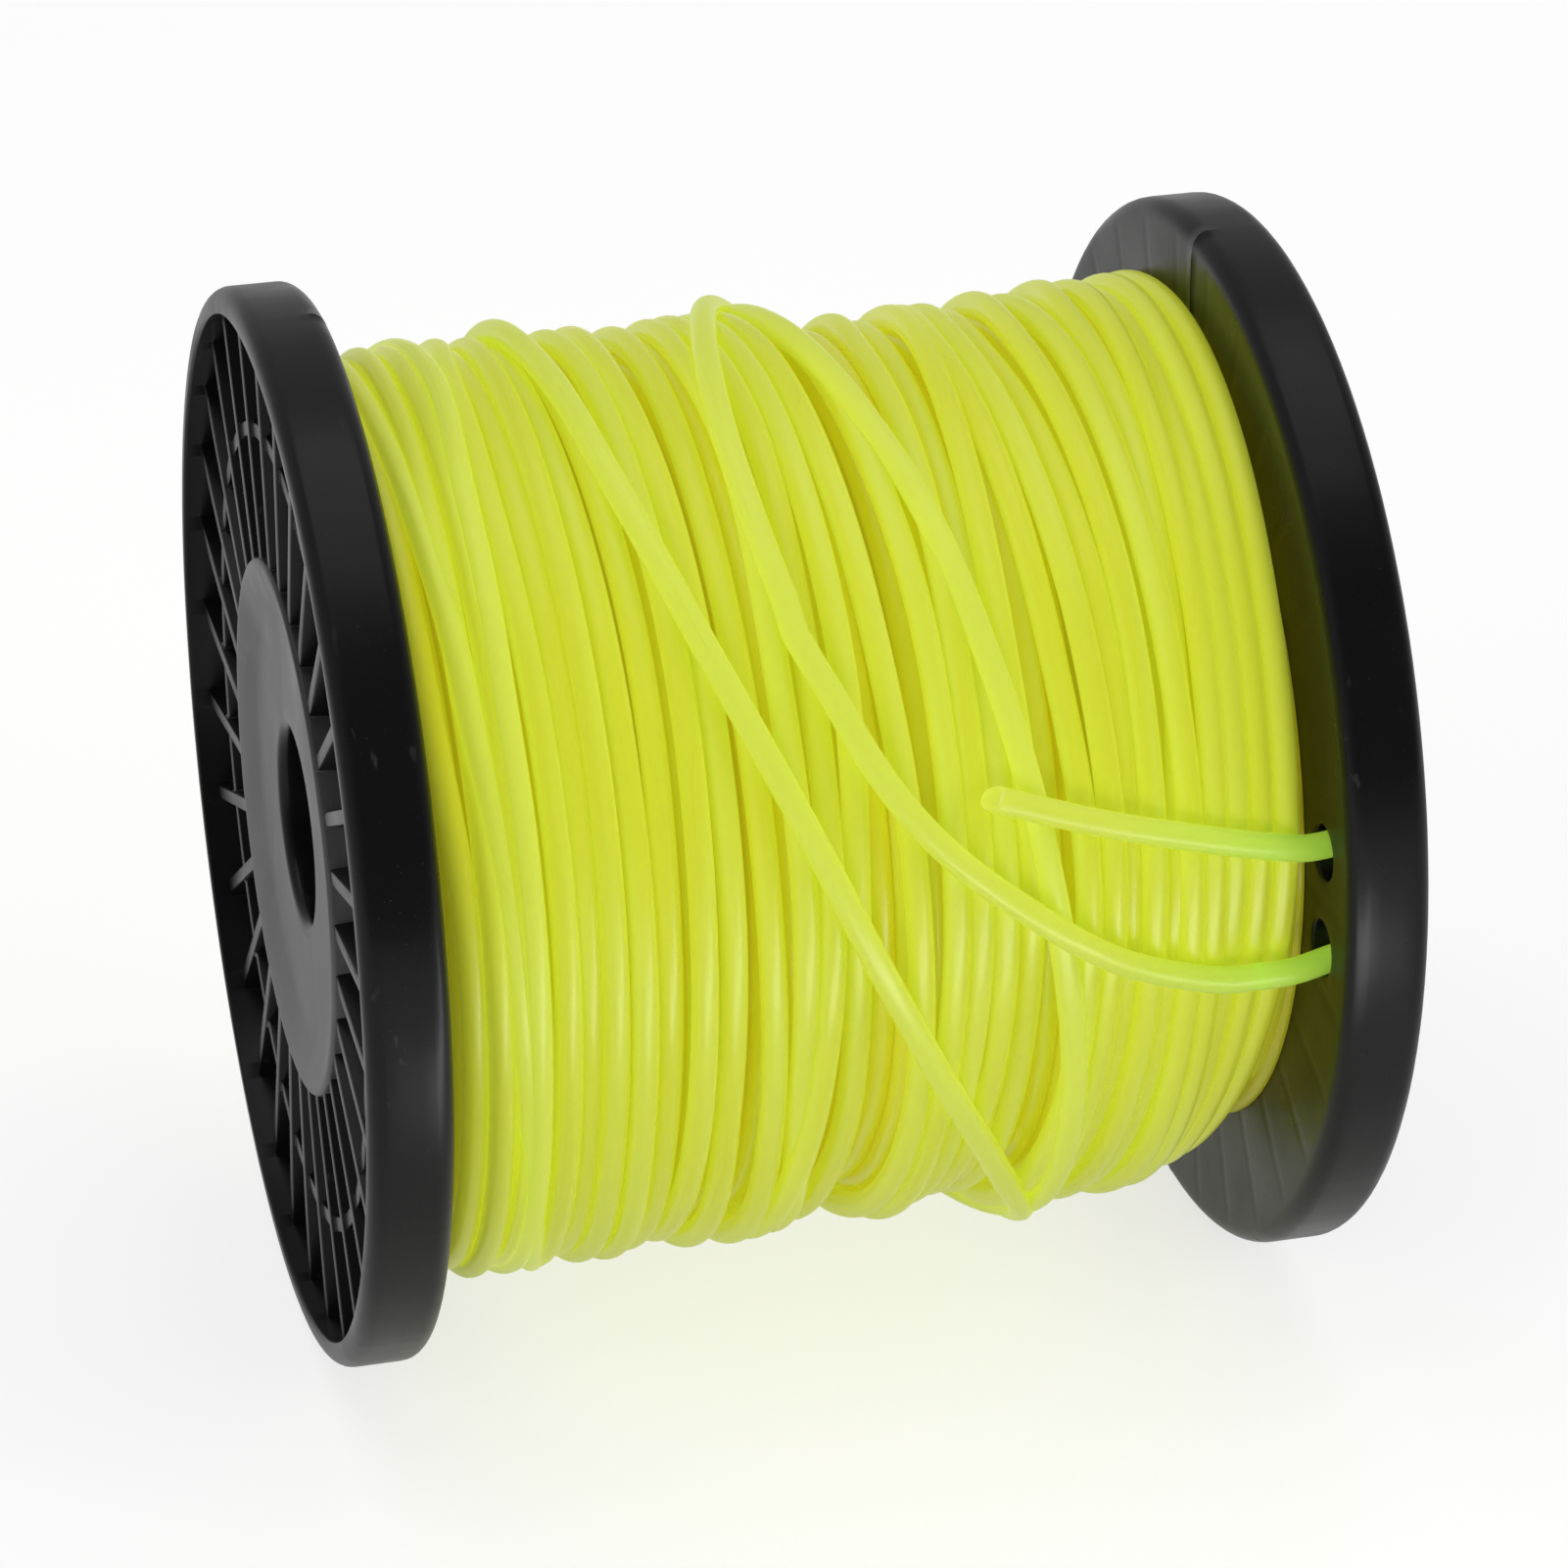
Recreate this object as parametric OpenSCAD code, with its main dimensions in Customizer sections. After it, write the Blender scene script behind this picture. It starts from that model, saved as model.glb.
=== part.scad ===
// String reel: a moulded spool with two ribbed flanges, wound full of
// thick trimmer line.  The spool lies on its two rims.
// X runs along the spool's axis, +Z is up, and the origin is on the
// surface that the rims stand on, below the middle of the axis.
// Angles around the axis start at the front (-Y) and grow towards the
// top (+Z).

/* [Flanges] */
// Diameter over the rims
flange_d = 110; // [108:1:130]
// Width over both rims, along the axis
spool_w = 105; // [95:1:130]
// Width of one rim
rim_w = 8.4; // [7.6:0.1:12]
// Thickness of the flat web behind the ribs
web_t = 2.6; // [1.8:0.1:3.4]
// Wall of the raised lip round the outer face
lip_t = 2.7; // [2.4:0.1:4]
// Rounding of the rim's outer corner
outer_round = 1.8; // [0.5:0.1:2]
// Rounding of the rim's corner on the line side
inner_round = 2; // [0.5:0.1:3]

/* [Ribs] */
// Radial ribs on the outer face of each flange
rib_count = 31; // [16:1:40]
// Thickness of a radial rib at its top
rib_t = 1.5; // [1:0.1:2]
// Extra thickness of a rib at its foot
rib_draft = 0.4; // [0:0.1:0.6]
// Depth of the rib tops below the lip
rib_drop = 1.8; // [1:0.1:2.4]
// Outer diameter of the ring rib
ring_d = 82.8; // [66:0.2:86]
// Thickness of the ring rib
ring_t = 1.6; // [1:0.1:2.4]
// Depth of the ring rib's top below the lip
ring_drop = 2.2; // [1:0.1:3]
// Angle of one rib on the left flange
left_rib_angle = 28.9; // [0:0.1:45]

/* [Hub] */
// Diameter of the raised hub
hub_d = 55; // [53:0.5:62]
// Depth of the hub's edge below the lip
hub_drop = 1.4; // [0.4:0.1:2]
// Diameter of the flat floor of the dished hub
dish_d = 43.4; // [34:0.2:48]
// Depth of that floor below the lip
dish_drop = 2.8; // [2.2:0.1:3.4]
// Thickness of the hub's floor
hub_floor_t = 2.6; // [1.8:0.1:3.4]
// Diameter of the spindle bore
bore_d = 20; // [12:0.5:26]
// Rounding of the bore's mouth
bore_round = 1; // [0.4:0.1:1.4]
// Wall of the sleeve round the bore
sleeve_t = 2.6; // [1.6:0.1:4]
// Outer diameter of the barrel
barrel_d = 52; // [46:0.5:54]
// Wall of the barrel
barrel_t = 2.6; // [1.8:0.1:4]

/* [Line] */
// Diameter of the line
line_d = 2.7; // [2:0.1:3]
// Diameter over the outer layer of turns
wound_d = 92.7; // [88:0.1:96]
// Turns in the outer layer, before the two that cross it
layer_turns = 22; // [14:1:22]
// Gap from the flange to the nearest turn of the outer layer
end_gap = 1.55; // [0.5:0.05:4]
// Gap between the outer layer and what lies under or over it
layer_gap = 0.45; // [0.42:0.01:0.8]

/* [Line end] */
// Diameter of the two holes that hold the line's end
hole_d = 5.6; // [4.6:0.1:6.4]
// Distance of the holes from the axis
hole_r = 46.6; // [45:0.1:48.4]
// Angle of the upper hole
upper_hole_angle = 10.6; // [10:0.1:12]
// Angle of the lower hole
lower_hole_angle = -2; // [-4:0.1:-1.5]
// Depth of the line's saddle below the lip, on the rib between the holes
saddle_drop = 3.3; // [3:0.1:4]

/* [Hidden] */
$fn = 128;

// overlap of pieces joined inside one moulding
bond = 0.3;
// step past a face that a cut leaves through
past = 1;
edge_round = 0.3;
running_gap = 0.1;

flange_r = flange_d / 2;
gap_w = spool_w - 2 * rim_w;
web_top = web_t - rim_w;
hub_inner = -dish_drop - hub_floor_t;
right_rib_angle = (upper_hole_angle + lower_hole_angle) / 2;

line_r = line_d / 2;
// rings in one turn of line, and sides of one ring
turn_rings = 24;
turn_sides = 6;
// a chord between two rings comes this much nearer to the axis
chord = cos(180 / turn_rings);
layer_r = wound_d / 2 - line_r;
core_r = layer_r * chord - line_r - layer_gap;
cross_r = (layer_r + line_d + layer_gap) / chord;

// The outer layer starts at the right flange, low at the back, and winds
// to the left.
start_angle = -150;
start_bend = 2.2;
climb_start = -60;
layer_sweep = 360 * layer_turns - (climb_start - start_angle);
first_x = gap_w / 2 - end_gap - line_r;
last_x = -first_x;
// how far the start's bend pushes the first turns away from the flange
start_push = first_x - (gap_w / 2 - line_d - start_bend);
push_fade = 6;
// the turns wander to and fro together, as hand-guided line does
wander = 0.8;
wander_span = 64;
wander_phase = 40;

// The last two turns leave the left end, climb on the layer and cross it
// to the right.  Each point is [angle, share of the half gap, height over
// the layer from 0 to 1].  The angle falls as the line goes round.
cross_route = [
    [300, -0.934, 0], [276, -0.934, 0.45], [252, -0.93, 1], [228, -0.9, 1],
    [204, -0.84, 1], [180, -0.76, 1], [156, -0.68, 1], [134, -0.61, 1],
    [114, -0.57, 1], [92, -0.54, 1], [70, -0.5, 1], [50, -0.4, 1],
    [33, -0.28, 1], [16, -0.14, 1], [0, 0, 1], [-16, 0.14, 1],
    [-34, 0.28, 1], [-57, 0.42, 1], [-84, 0.52, 1], [-112, 0.54, 1],
    [-140, 0.48, 1], [-168, 0.36, 1], [-196, 0.2, 1], [-222, 0.06, 1],
    [-246, -0.05, 1], [-268, -0.13, 1], [-289, -0.18, 1], [-305, -0.17, 1],
    [-319, -0.12, 1], [-331, -0.04, 1], [-341, 0.09, 1], [-349, 0.25, 1],
    [-356, 0.42, 1], [-361, 0.6, 1], [-363.3, 0.76, 1]];
route_steps = 2;
// The line's end, from the last turn out through the lower hole, over the
// saddle and back through the upper hole, to the cut end over the turns.
// Each point is [distance from the web's line side, angle, distance from
// the axis], in mm and degrees; a point past the web is positive.
end_route = [
    [-7, -3.3, 48.6], [-4.2, -3.3, 48.6], [-2.4, -3.3, 48.2],
    [-0.4, -3.3, 47.5], [1.4, -3.3, 46.9], [3.2, -3.3, 46.5],
    [4.8, -3, 46.3], [6, -1.8, 46.2], [6.7, 0.6, 46.1], [6.9, 4.3, 46.1],
    [6.7, 8, 46.1], [6, 10.4, 46.2], [4.8, 11.6, 46.3], [3.2, 11.9, 46.5],
    [1.4, 11.9, 46.9], [-0.4, 11.9, 47.5], [-2.4, 12.1, 48.2],
    [-4.6, 12.7, 48.8], [-9, 13.9, 49.3], [-15, 15.7, 49.6],
    [-21, 17.6, 49.8], [-26, 19.4, 50], [-31, 21.4, 50.2],
    [-34, 22.6, 50.4]];
end_sides = 8;

// ---- places ------------------------------------------------------------

// A point at angle a and distance r from the spool's axis.
function at(x, a, r) = [x, -r * cos(a), flange_r + r * sin(a)];

// Points along an arc from angle a0 to a1.
function arc(c, r, a0, a1, n = 5) =
    [for (i = [0:n]) let (a = a0 + (a1 - a0) * i / n)
        c + r * [cos(a), sin(a)]];

// Laid along X with its middle at the middle of the spool's axis.
module on_axis() translate([0, 0, flange_r]) rotate([0, 90, 0]) children();

// A flange's own frame has its lip's face at z = 0 and its outer side up.
module at_left() translate([-spool_w / 2, 0, flange_r]) rotate([90, 0, -90])
    children();
module at_right() mirror([1, 0, 0]) at_left() children();

// ---- spool -------------------------------------------------------------

// Half section of web, rim, lip and dished hub.
module flange_section() polygon(concat(
    [[bore_d / 2, hub_inner]],
    arc([bore_d / 2 + bore_round, -dish_drop - bore_round], bore_round,
        180, 90),
    [[dish_d / 2, -dish_drop]],
    arc([hub_d / 2 - edge_round, -hub_drop - edge_round], edge_round, 90, 0, 2),
    [[hub_d / 2, web_top], [flange_r - lip_t, web_top]],
    arc([flange_r - lip_t + edge_round, -edge_round], edge_round, 180, 90, 2),
    arc([flange_r - outer_round, -outer_round], outer_round, 90, 0, 6),
    arc([flange_r - inner_round, inner_round - rim_w], inner_round, 0, -90, 6),
    [[barrel_d / 2 - barrel_t, -rim_w], [barrel_d / 2 - barrel_t, hub_inner]]));

// One radial rib with draft, from the hub to the lip.
module rib() {
    foot = web_top - bond;
    inner = hub_d / 2 - bond;
    translate([inner, 0, 0]) rotate([90, 0, 90])
        linear_extrude(flange_r - lip_t + bond - inner)
            polygon([[-(rib_t + rib_draft) / 2, foot],
                     [(rib_t + rib_draft) / 2, foot],
                     [rib_t / 2, -rib_drop], [-rib_t / 2, -rib_drop]]);
}

module ring_rib() rotate_extrude()
    polygon([[ring_d / 2, web_top - bond], [ring_d / 2, -ring_drop],
             [ring_d / 2 - ring_t, -ring_drop],
             [ring_d / 2 - ring_t, web_top - bond]]);

module flange(rib_angle) {
    rotate_extrude() flange_section();
    ring_rib();
    for (i = [0:rib_count - 1])
        rotate(rib_angle + i * 360 / rib_count) rib();
}

module left_flange() color([0.11, 0.11, 0.12]) at_left() flange(left_rib_angle);

// The right flange has two holes for the line's end, and a saddle in the
// rib between them that keeps the line below the lip.
module right_flange() color([0.11, 0.11, 0.12]) at_right() difference() {
    flange(right_rib_angle);
    for (a = [upper_hole_angle, lower_hole_angle])
        rotate(a) translate([hole_r, 0, -rim_w - past])
            cylinder(d = hole_d, h = web_t + 2 * past);
    rotate(right_rib_angle)
        translate([hole_r - hole_d / 2 - past, -rib_t, -saddle_drop])
            cube([hole_d + 2 * past, 2 * rib_t, saddle_drop + past]);
}

module tube(outer_d, inner_d, length) on_axis() difference() {
    cylinder(d = outer_d, h = length, center = true);
    cylinder(d = inner_d, h = length + 2 * past, center = true);
}

module barrel() color([0.13, 0.13, 0.14])
    tube(barrel_d, barrel_d - 2 * barrel_t, gap_w);

module spindle_sleeve() color([0.15, 0.15, 0.16])
    tube(bore_d + 2 * sleeve_t, bore_d, spool_w + 2 * hub_inner);

// ---- line --------------------------------------------------------------

// A closed tube of line through path points [x, angle, distance from the
// axis], with one side of each ring turned away from the axis.
module line_tube(path, sides) {
    n = len(path);
    p = [for (q = path) at(q[0], q[1], q[2])];
    rings = [for (i = [0:n - 1]) let (
            t0 = p[min(i + 1, n - 1)] - p[max(i - 1, 0)],
            t = t0 / norm(t0),
            up = at(0, path[i][1], 1) - at(0, 0, 0),
            u0 = up - (up * t) * t,
            u = u0 / norm(u0),
            v = cross(t, u))
        for (k = [0:sides - 1])
            p[i] + line_r * (cos(360 * k / sides) * u
                             + sin(360 * k / sides) * v)];
    walls = [for (i = [0:n - 2], k = [0:sides - 1]) let (
            a = i * sides + k, b = i * sides + (k + 1) % sides,
            c = a + sides, d = b + sides)
        each [[a, c, b], [b, c, d]]];
    start_cap = [for (k = [1:sides - 2]) [0, k, k + 1]];
    last = (n - 1) * sides;
    end_cap = [for (k = [1:sides - 2]) [last, last + k + 1, last + k]];
    polyhedron(points = rings, faces = concat(walls, start_cap, end_cap));
}

// Place along the axis of the outer layer after a sweep of s degrees.
function layer_x(s) =
    let (x = first_x + (last_x - first_x) * s / layer_sweep,
         a = start_angle - s,
         near = (1 + cos(s)) / 2)
    x - start_push * near * near * exp(-s / 360 / push_fade)
      + wander * sin(a + wander_phase) * sin(360 * x / wander_span)
        * min(1, s / 360) * min(1, (layer_sweep - s) / 360);

// The start stands square on the right flange, and bends into the layer.
start_turn = start_bend * 180 / (PI * layer_r);
layer_start = concat(
    [[gap_w / 2, start_angle, layer_r]],
    [for (b = [0:30:60])
        [gap_w / 2 - line_d - start_bend * sin(b),
         start_angle - start_turn * (1 - cos(b)), layer_r]]);
layer_path = [for (s = [360 / turn_rings:360 / turn_rings:layer_sweep
                        - 180 / turn_rings])
    [layer_x(s), start_angle - s, layer_r]];

// Smooth curve through the points of a route.
function between(a, b, c, d, t) =
    (2 * b + (c - a) * t + (2 * a - 5 * b + 4 * c - d) * t * t
     + (3 * b - a - 3 * c + d) * t * t * t) / 2;
function smooth(route, steps) =
    let (n = len(route))
    [for (i = [0:n - 2], j = [0:steps - 1])
        between(route[max(i - 1, 0)], route[i], route[i + 1],
                route[min(i + 2, n - 1)], j / steps)];

// The last point of the crossing turns lies where the line's end begins,
// and the line runs straight into it.
join_x = gap_w / 2 + end_route[0][0];
cross_path = concat(
    [for (q = smooth(cross_route, route_steps))
        [q[0] > climb_start + 360 - 1 ? last_x : q[1] * gap_w / 2, q[0],
         layer_r + (cross_r - layer_r) * max(0, min(1, q[2]))]],
    [[join_x - line_d, end_route[0][1] - 360, end_route[0][2]],
     [join_x, end_route[0][1] - 360, end_route[0][2]]]);

wound_path = concat(layer_start, layer_path, cross_path);
end_path = [for (q = end_route) [gap_w / 2 + q[0], q[1], q[2]]];

// Points along a path, gap_steps to a ring, and the least gap between the
// line at some of them and the line half a turn or more away.
gap_steps = 4;
function finer(path) = [for (i = [0:len(path) - 2], j = [0:gap_steps - 1])
    let (p = at(path[i][0], path[i][1], path[i][2]),
         q = at(path[i + 1][0], path[i + 1][1], path[i + 1][2]))
    p + (q - p) * j / gap_steps];
function least_gap(points, from, step, apart) =
    min([for (i = [from:step:len(points) - 1], j = [0:i - apart])
        norm(points[i] - points[j])]) - line_d;

module outer_layer() color([0.82, 0.87, 0.2]) {
    points = finer(wound_path);
    apart = gap_steps * turn_rings / 2;
    crossing = gap_steps * (len(wound_path) - len(cross_path));
    echo("least gap of the whole layer to itself, mm",
         least_gap(points, apart, gap_steps, apart));
    echo("least gap of the crossing turns to all turns, mm",
         least_gap(points, crossing, 1, apart));
    line_tube(wound_path, turn_sides);
}

module line_end() color([0.75, 0.9, 0.3]) line_tube(end_path, end_sides);

// Plain body of the layers under the outer one.
module inner_layers() color([0.76, 0.78, 0.12])
    tube(2 * core_r, barrel_d + 2 * running_gap, gap_w);

left_flange();
right_flange();
barrel();
spindle_sleeve();
inner_layers();
outer_layer();
line_end();
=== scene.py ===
"""Looks of a string reel: a moulded spool wound full of trimmer line.

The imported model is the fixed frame.  The two ribbed flanges and the line are
rebuilt here as finer meshes on the same sizes, and every piece gets its own
finish.  X runs along the spool's axis, +Z is up, and angles around the axis
start at the front (-Y) and grow towards the top (+Z).
"""

from __future__ import annotations

import logging
import math
from collections.abc import Sequence
from dataclasses import dataclass, field
from enum import Enum

import bmesh
import bpy
import numpy as np
from mathutils import Matrix, Quaternion, Vector

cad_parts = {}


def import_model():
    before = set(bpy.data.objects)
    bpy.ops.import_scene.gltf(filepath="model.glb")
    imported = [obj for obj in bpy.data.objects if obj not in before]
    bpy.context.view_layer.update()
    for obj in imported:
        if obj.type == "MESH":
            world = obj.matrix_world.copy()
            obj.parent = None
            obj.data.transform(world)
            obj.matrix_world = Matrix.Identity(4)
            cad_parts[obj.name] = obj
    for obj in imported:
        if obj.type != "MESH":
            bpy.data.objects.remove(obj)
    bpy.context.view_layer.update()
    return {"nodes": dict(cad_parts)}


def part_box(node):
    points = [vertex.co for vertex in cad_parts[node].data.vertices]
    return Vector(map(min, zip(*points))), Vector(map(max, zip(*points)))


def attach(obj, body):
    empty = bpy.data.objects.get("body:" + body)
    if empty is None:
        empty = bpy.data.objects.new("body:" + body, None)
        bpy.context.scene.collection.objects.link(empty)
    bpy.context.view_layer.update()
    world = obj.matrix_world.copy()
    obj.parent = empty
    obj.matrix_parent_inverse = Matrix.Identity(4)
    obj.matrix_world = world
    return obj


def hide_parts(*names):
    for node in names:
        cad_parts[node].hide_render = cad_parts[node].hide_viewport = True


LOG = logging.getLogger("string_reel")

MM = 0.001
BODY = "root"
FLANGE_CREASE = math.radians(42)
LINE_CREASE = math.radians(50)

Colour = tuple[float, float, float]
Pair = tuple[float, float]
Triple = tuple[float, float, float]
Socket = bpy.types.NodeSocket


class Side(Enum):
    """The end of the spool that a flange is on, as the sign of its X."""

    LEFT = -1
    RIGHT = 1


class Slot(Enum):
    """The record's material slots."""

    SPOOL = "spool"
    LINE = "line"


class Reach(Enum):
    """What a light is for: lighting the spool, showing in it, or both."""

    LIGHT = "light"
    MIRROR = "mirror"
    BOTH = "both"


# ---- places and meshes ---------------------------------------------------


def around_axis(
    x: np.ndarray, angle: np.ndarray, radius: np.ndarray, axis_z: float
) -> np.ndarray:
    """Points at angles and distances from the spool's axis.

    Args:
        x: Place along the axis, in metres.
        angle: Angle from the front towards the top, in radians.
        radius: Distance from the axis, in metres.
        axis_z: Height of the axis over the ground, in metres.

    Returns:
        The points, with X, Y and Z in the last dimension.
    """
    x, angle, radius = np.broadcast_arrays(x, angle, radius)
    return np.stack(
        [x, -radius * np.cos(angle), axis_z + radius * np.sin(angle)], axis=-1
    )


def arc_points(centre: Pair, radius: float, start: float, end: float, steps: int) -> list[Pair]:
    """Points along an arc in a section.

    Args:
        centre: Centre of the arc.
        radius: Radius of the arc.
        start: Angle of the first point, in degrees.
        end: Angle of the last point, in degrees.
        steps: Number of steps between them.

    Returns:
        The points, the first and the last included.
    """
    turn = (math.radians(start + (end - start) * i / steps) for i in range(steps + 1))
    return [
        (centre[0] + radius * math.cos(a), centre[1] + radius * math.sin(a)) for a in turn
    ]


def mesh_object(name: str, points: np.ndarray, faces: Sequence[Sequence[int]]) -> bpy.types.Object:
    """Makes a smooth-shaded mesh object with its faces turned outwards.

    Args:
        name: Name of the object and its mesh.
        points: Corner points, in metres.
        faces: Corner numbers of each face.

    Returns:
        The new object, linked to the scene.
    """
    mesh = bpy.data.meshes.new(name)
    mesh.from_pydata(points.reshape(-1, 3).tolist(), [], [list(f) for f in faces])
    shell = bmesh.new()
    shell.from_mesh(mesh)
    bmesh.ops.recalc_face_normals(shell, faces=shell.faces)
    shell.to_mesh(mesh)
    shell.free()
    mesh.polygons.foreach_set("use_smooth", [True] * len(mesh.polygons))
    mesh.update()
    made = bpy.data.objects.new(name, mesh)
    bpy.context.scene.collection.objects.link(made)
    return made


def ring_faces(rows: int, columns: int, rows_closed: bool) -> list[tuple[int, int, int, int]]:
    """Faces of a grid whose columns run round in a ring.

    Args:
        rows: Number of rows.
        columns: Number of columns.
        rows_closed: Whether the last row joins the first.

    Returns:
        The four corner numbers of each face.
    """
    last = rows if rows_closed else rows - 1
    return [
        (
            i * columns + j,
            i * columns + (j + 1) % columns,
            (i + 1) % rows * columns + (j + 1) % columns,
            (i + 1) % rows * columns + j,
        )
        for i in range(last)
        for j in range(columns)
    ]


def paint_points(piece: bpy.types.Object, name: str, values: np.ndarray) -> None:
    """Stores one number for each point of a piece's mesh.

    Args:
        piece: The mesh object.
        name: Name of the attribute.
        values: One value for each point.
    """
    layer = piece.data.attributes.new(name, "FLOAT", "POINT")
    layer.data.foreach_set("value", values.astype(np.float32).ravel())


# ---- finishes ------------------------------------------------------------


class ShaderBench:
    """Puts together the nodes of one material."""

    def __init__(self, name: str) -> None:
        """Starts an empty material.

        Args:
            name: Name of the material.
        """
        self.material = bpy.data.materials.new(name)
        self.material.use_nodes = True
        self.tree = self.material.node_tree
        self.tree.nodes.clear()

    def add(
        self, kind: str, inputs: dict[str, object] | None = None, **settings: object
    ) -> bpy.types.Node:
        """Adds a node.

        Args:
            kind: Blender's name of the node type, without its prefix.
            inputs: Values, or outputs to link, by the name of the socket.
            settings: Settings of the node itself.

        Returns:
            The new node.
        """
        node = self.tree.nodes.new("ShaderNode" + kind)
        for name, value in settings.items():
            setattr(node, name, value)
        for name, value in (inputs or {}).items():
            self.feed(node.inputs[name], value)
        return node

    def feed(self, socket: Socket, value: object) -> None:
        """Links an output to an input, or sets the input to a plain value.

        Args:
            socket: The input.
            value: The output or the plain value.
        """
        if isinstance(value, bpy.types.NodeSocket):
            self.tree.links.new(value, socket)
        else:
            socket.default_value = value

    def stored(self, name: str, output: str = "Fac") -> Socket:
        """A value that is stored on the mesh's points."""
        return self.add("Attribute", attribute_name=name).outputs[output]

    def noise(self, place: Socket, scale: float, detail: float = 3.0) -> Socket:
        """A noise value from 0 to 1 whose grain is 1/scale metres."""
        inputs = {"Vector": place, "Scale": scale, "Detail": detail}
        return self.add("TexNoise", inputs).outputs["Fac"]

    def stretched(self, place: Socket, scale: Triple) -> Socket:
        """A place scaled along each axis, for grain that runs one way."""
        return self.add("Mapping", {"Vector": place, "Scale": scale}).outputs["Vector"]

    def span(self, value: Socket, taken: Pair, given: tuple[object, object]) -> Socket:
        """Maps a value's range onto another, and keeps it inside.

        Args:
            value: The value to map.
            taken: The two ends of the range taken in.
            given: The values or outputs that they give.

        Returns:
            The mapped value.
        """
        node = self.add(
            "MapRange",
            {
                "Value": value,
                "From Min": taken[0],
                "From Max": taken[1],
                "To Min": given[0],
                "To Max": given[1],
            },
        )
        return node.outputs["Result"]

    def math(self, operation: str, first: object, second: object) -> Socket:
        """One step of arithmetic.

        Args:
            operation: Blender's name of the step.
            first: A value or an output.
            second: A value or an output.

        Returns:
            The result.
        """
        node = self.add("Math", operation=operation)
        for socket, value in zip(node.inputs, (first, second)):
            self.feed(socket, value)
        return node.outputs["Value"]

    def blend(self, share: Socket, first: object, second: object) -> Socket:
        """A colour between two colours.

        Args:
            share: 0 for the first colour and 1 for the second.
            first: A colour or a colour output.
            second: A colour or a colour output.

        Returns:
            The mixed colour.
        """
        node = self.add("Mix", data_type="RGBA")
        self.tree.links.new(share, node.inputs["Factor"])
        for name, value in (("A", first), ("B", second)):
            socket = next(s for s in node.inputs if s.name == name and s.type == "RGBA")
            self.feed(socket, value if isinstance(value, bpy.types.NodeSocket) else (*value, 1.0))
        return next(s for s in node.outputs if s.type == "RGBA")

    def finish(self, inputs: dict[str, object]) -> bpy.types.Material:
        """Adds the surface shader and the output.

        Args:
            inputs: Values and links of the surface shader's sockets.

        Returns:
            The finished material.
        """
        shader = self.add("BsdfPrincipled", inputs)
        output = self.add("OutputMaterial")
        self.tree.links.new(shader.outputs["BSDF"], output.inputs["Surface"])
        return self.material


@dataclass(frozen=True)
class SpoolPlastic:
    """Black moulded plastic with a satin skin, handling marks and an optional painted sheen.

    Attributes:
        name: Name of the material.
        colour: Colour of the clean plastic.
        scuff_and_sheen_colour: Colour of the scuffs; on the hub it is light, which paints a sheen
            too.
        rough: Roughness of the skin, lowest and highest.
        scuff_rough: Roughness at the scuffs.
        scuff_level: Noise level above which the skin has scuffs; on the hub it is low, for more
            painted sheen.
        specular: Strength of the mirror light.
        grain_depth: Height of the fine grain, in metres.
        painted_sheen_from: Heights at which a painted sheen, lighter towards the bottom, is full
            and
        at which it ends, in metres; both are 0 without it.
    """

    name: str
    colour: Colour = (0.0052, 0.0052, 0.0058)
    scuff_and_sheen_colour: Colour = (0.03, 0.03, 0.032)
    rough: Pair = (0.24, 0.36)
    scuff_rough: float = 0.52
    scuff_level: float = 0.69
    specular: float = 0.25
    grain_depth: float = 0.00001
    painted_sheen_from: Pair = (0.0, 0.0)

    def material(self) -> bpy.types.Material:
        """Puts the finish together.

        Returns:
            The material.
        """
        bench = ShaderBench(self.name)
        place = bench.add("TexCoord").outputs["Object"]
        clouds = bench.noise(place, 90.0, 4.0)
        specks = bench.noise(place, 3200.0, 2.0)
        strokes = bench.noise(bench.stretched(place, (1.0, 0.16, 0.45)), 900.0, 4.0)
        patches = bench.noise(place, 55.0, 2.0)
        # Scuffs; with the hub's light scuff colour they are a painted sheen too.
        rubbed_and_sheen = bench.math(
            "MULTIPLY",
            bench.span(strokes, (self.scuff_level - 0.04, self.scuff_level + 0.06), (0.0, 1.0)),
            bench.span(patches, (0.48, 0.66), (0.0, 1.0)),
        )
        dust = bench.span(specks, (0.71, 0.76), (0.0, 0.75))
        marks_and_sheen = bench.math("MAXIMUM", rubbed_and_sheen, dust)
        # Painted sheen: lighter towards the bottom, in patches.
        if self.painted_sheen_from[1] > 0:
            height = bench.add("SeparateXYZ", {"Vector": place}).outputs["Z"]
            low = bench.span(height, self.painted_sheen_from, (1.0, 0.0))
            drawn = bench.noise(bench.stretched(place, (1.0, 1.0, 0.3)), 260.0, 4.0)
            patchy = bench.math("MULTIPLY", low, bench.span(clouds, (0.3, 0.7), (0.6, 1.0)))
            worn_and_sheen = bench.math("MULTIPLY", patchy, bench.span(drawn, (0.3, 0.7), (0.6, 1.0)))
            marks_and_sheen = bench.math("MAXIMUM", marks_and_sheen, worn_and_sheen)
        skin = bench.span(clouds, (0.3, 0.7), self.rough)
        rough = bench.span(marks_and_sheen, (0.0, 1.0), (skin, self.scuff_rough))
        grain = bench.noise(place, 2600.0, 2.0)
        waves = bench.noise(place, 160.0, 2.0)
        relief = bench.math("ADD", bench.math("MULTIPLY", grain, 0.35), waves)
        bump = bench.add(
            "Bump", {"Height": relief, "Strength": 1.0, "Distance": self.grain_depth}
        ).outputs["Normal"]
        return bench.finish(
            {
                "Base Color": bench.blend(marks_and_sheen, self.colour, self.scuff_and_sheen_colour),
                "Roughness": rough,
                "Specular IOR Level": self.specular,
                "Normal": bump,
            }
        )


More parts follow.
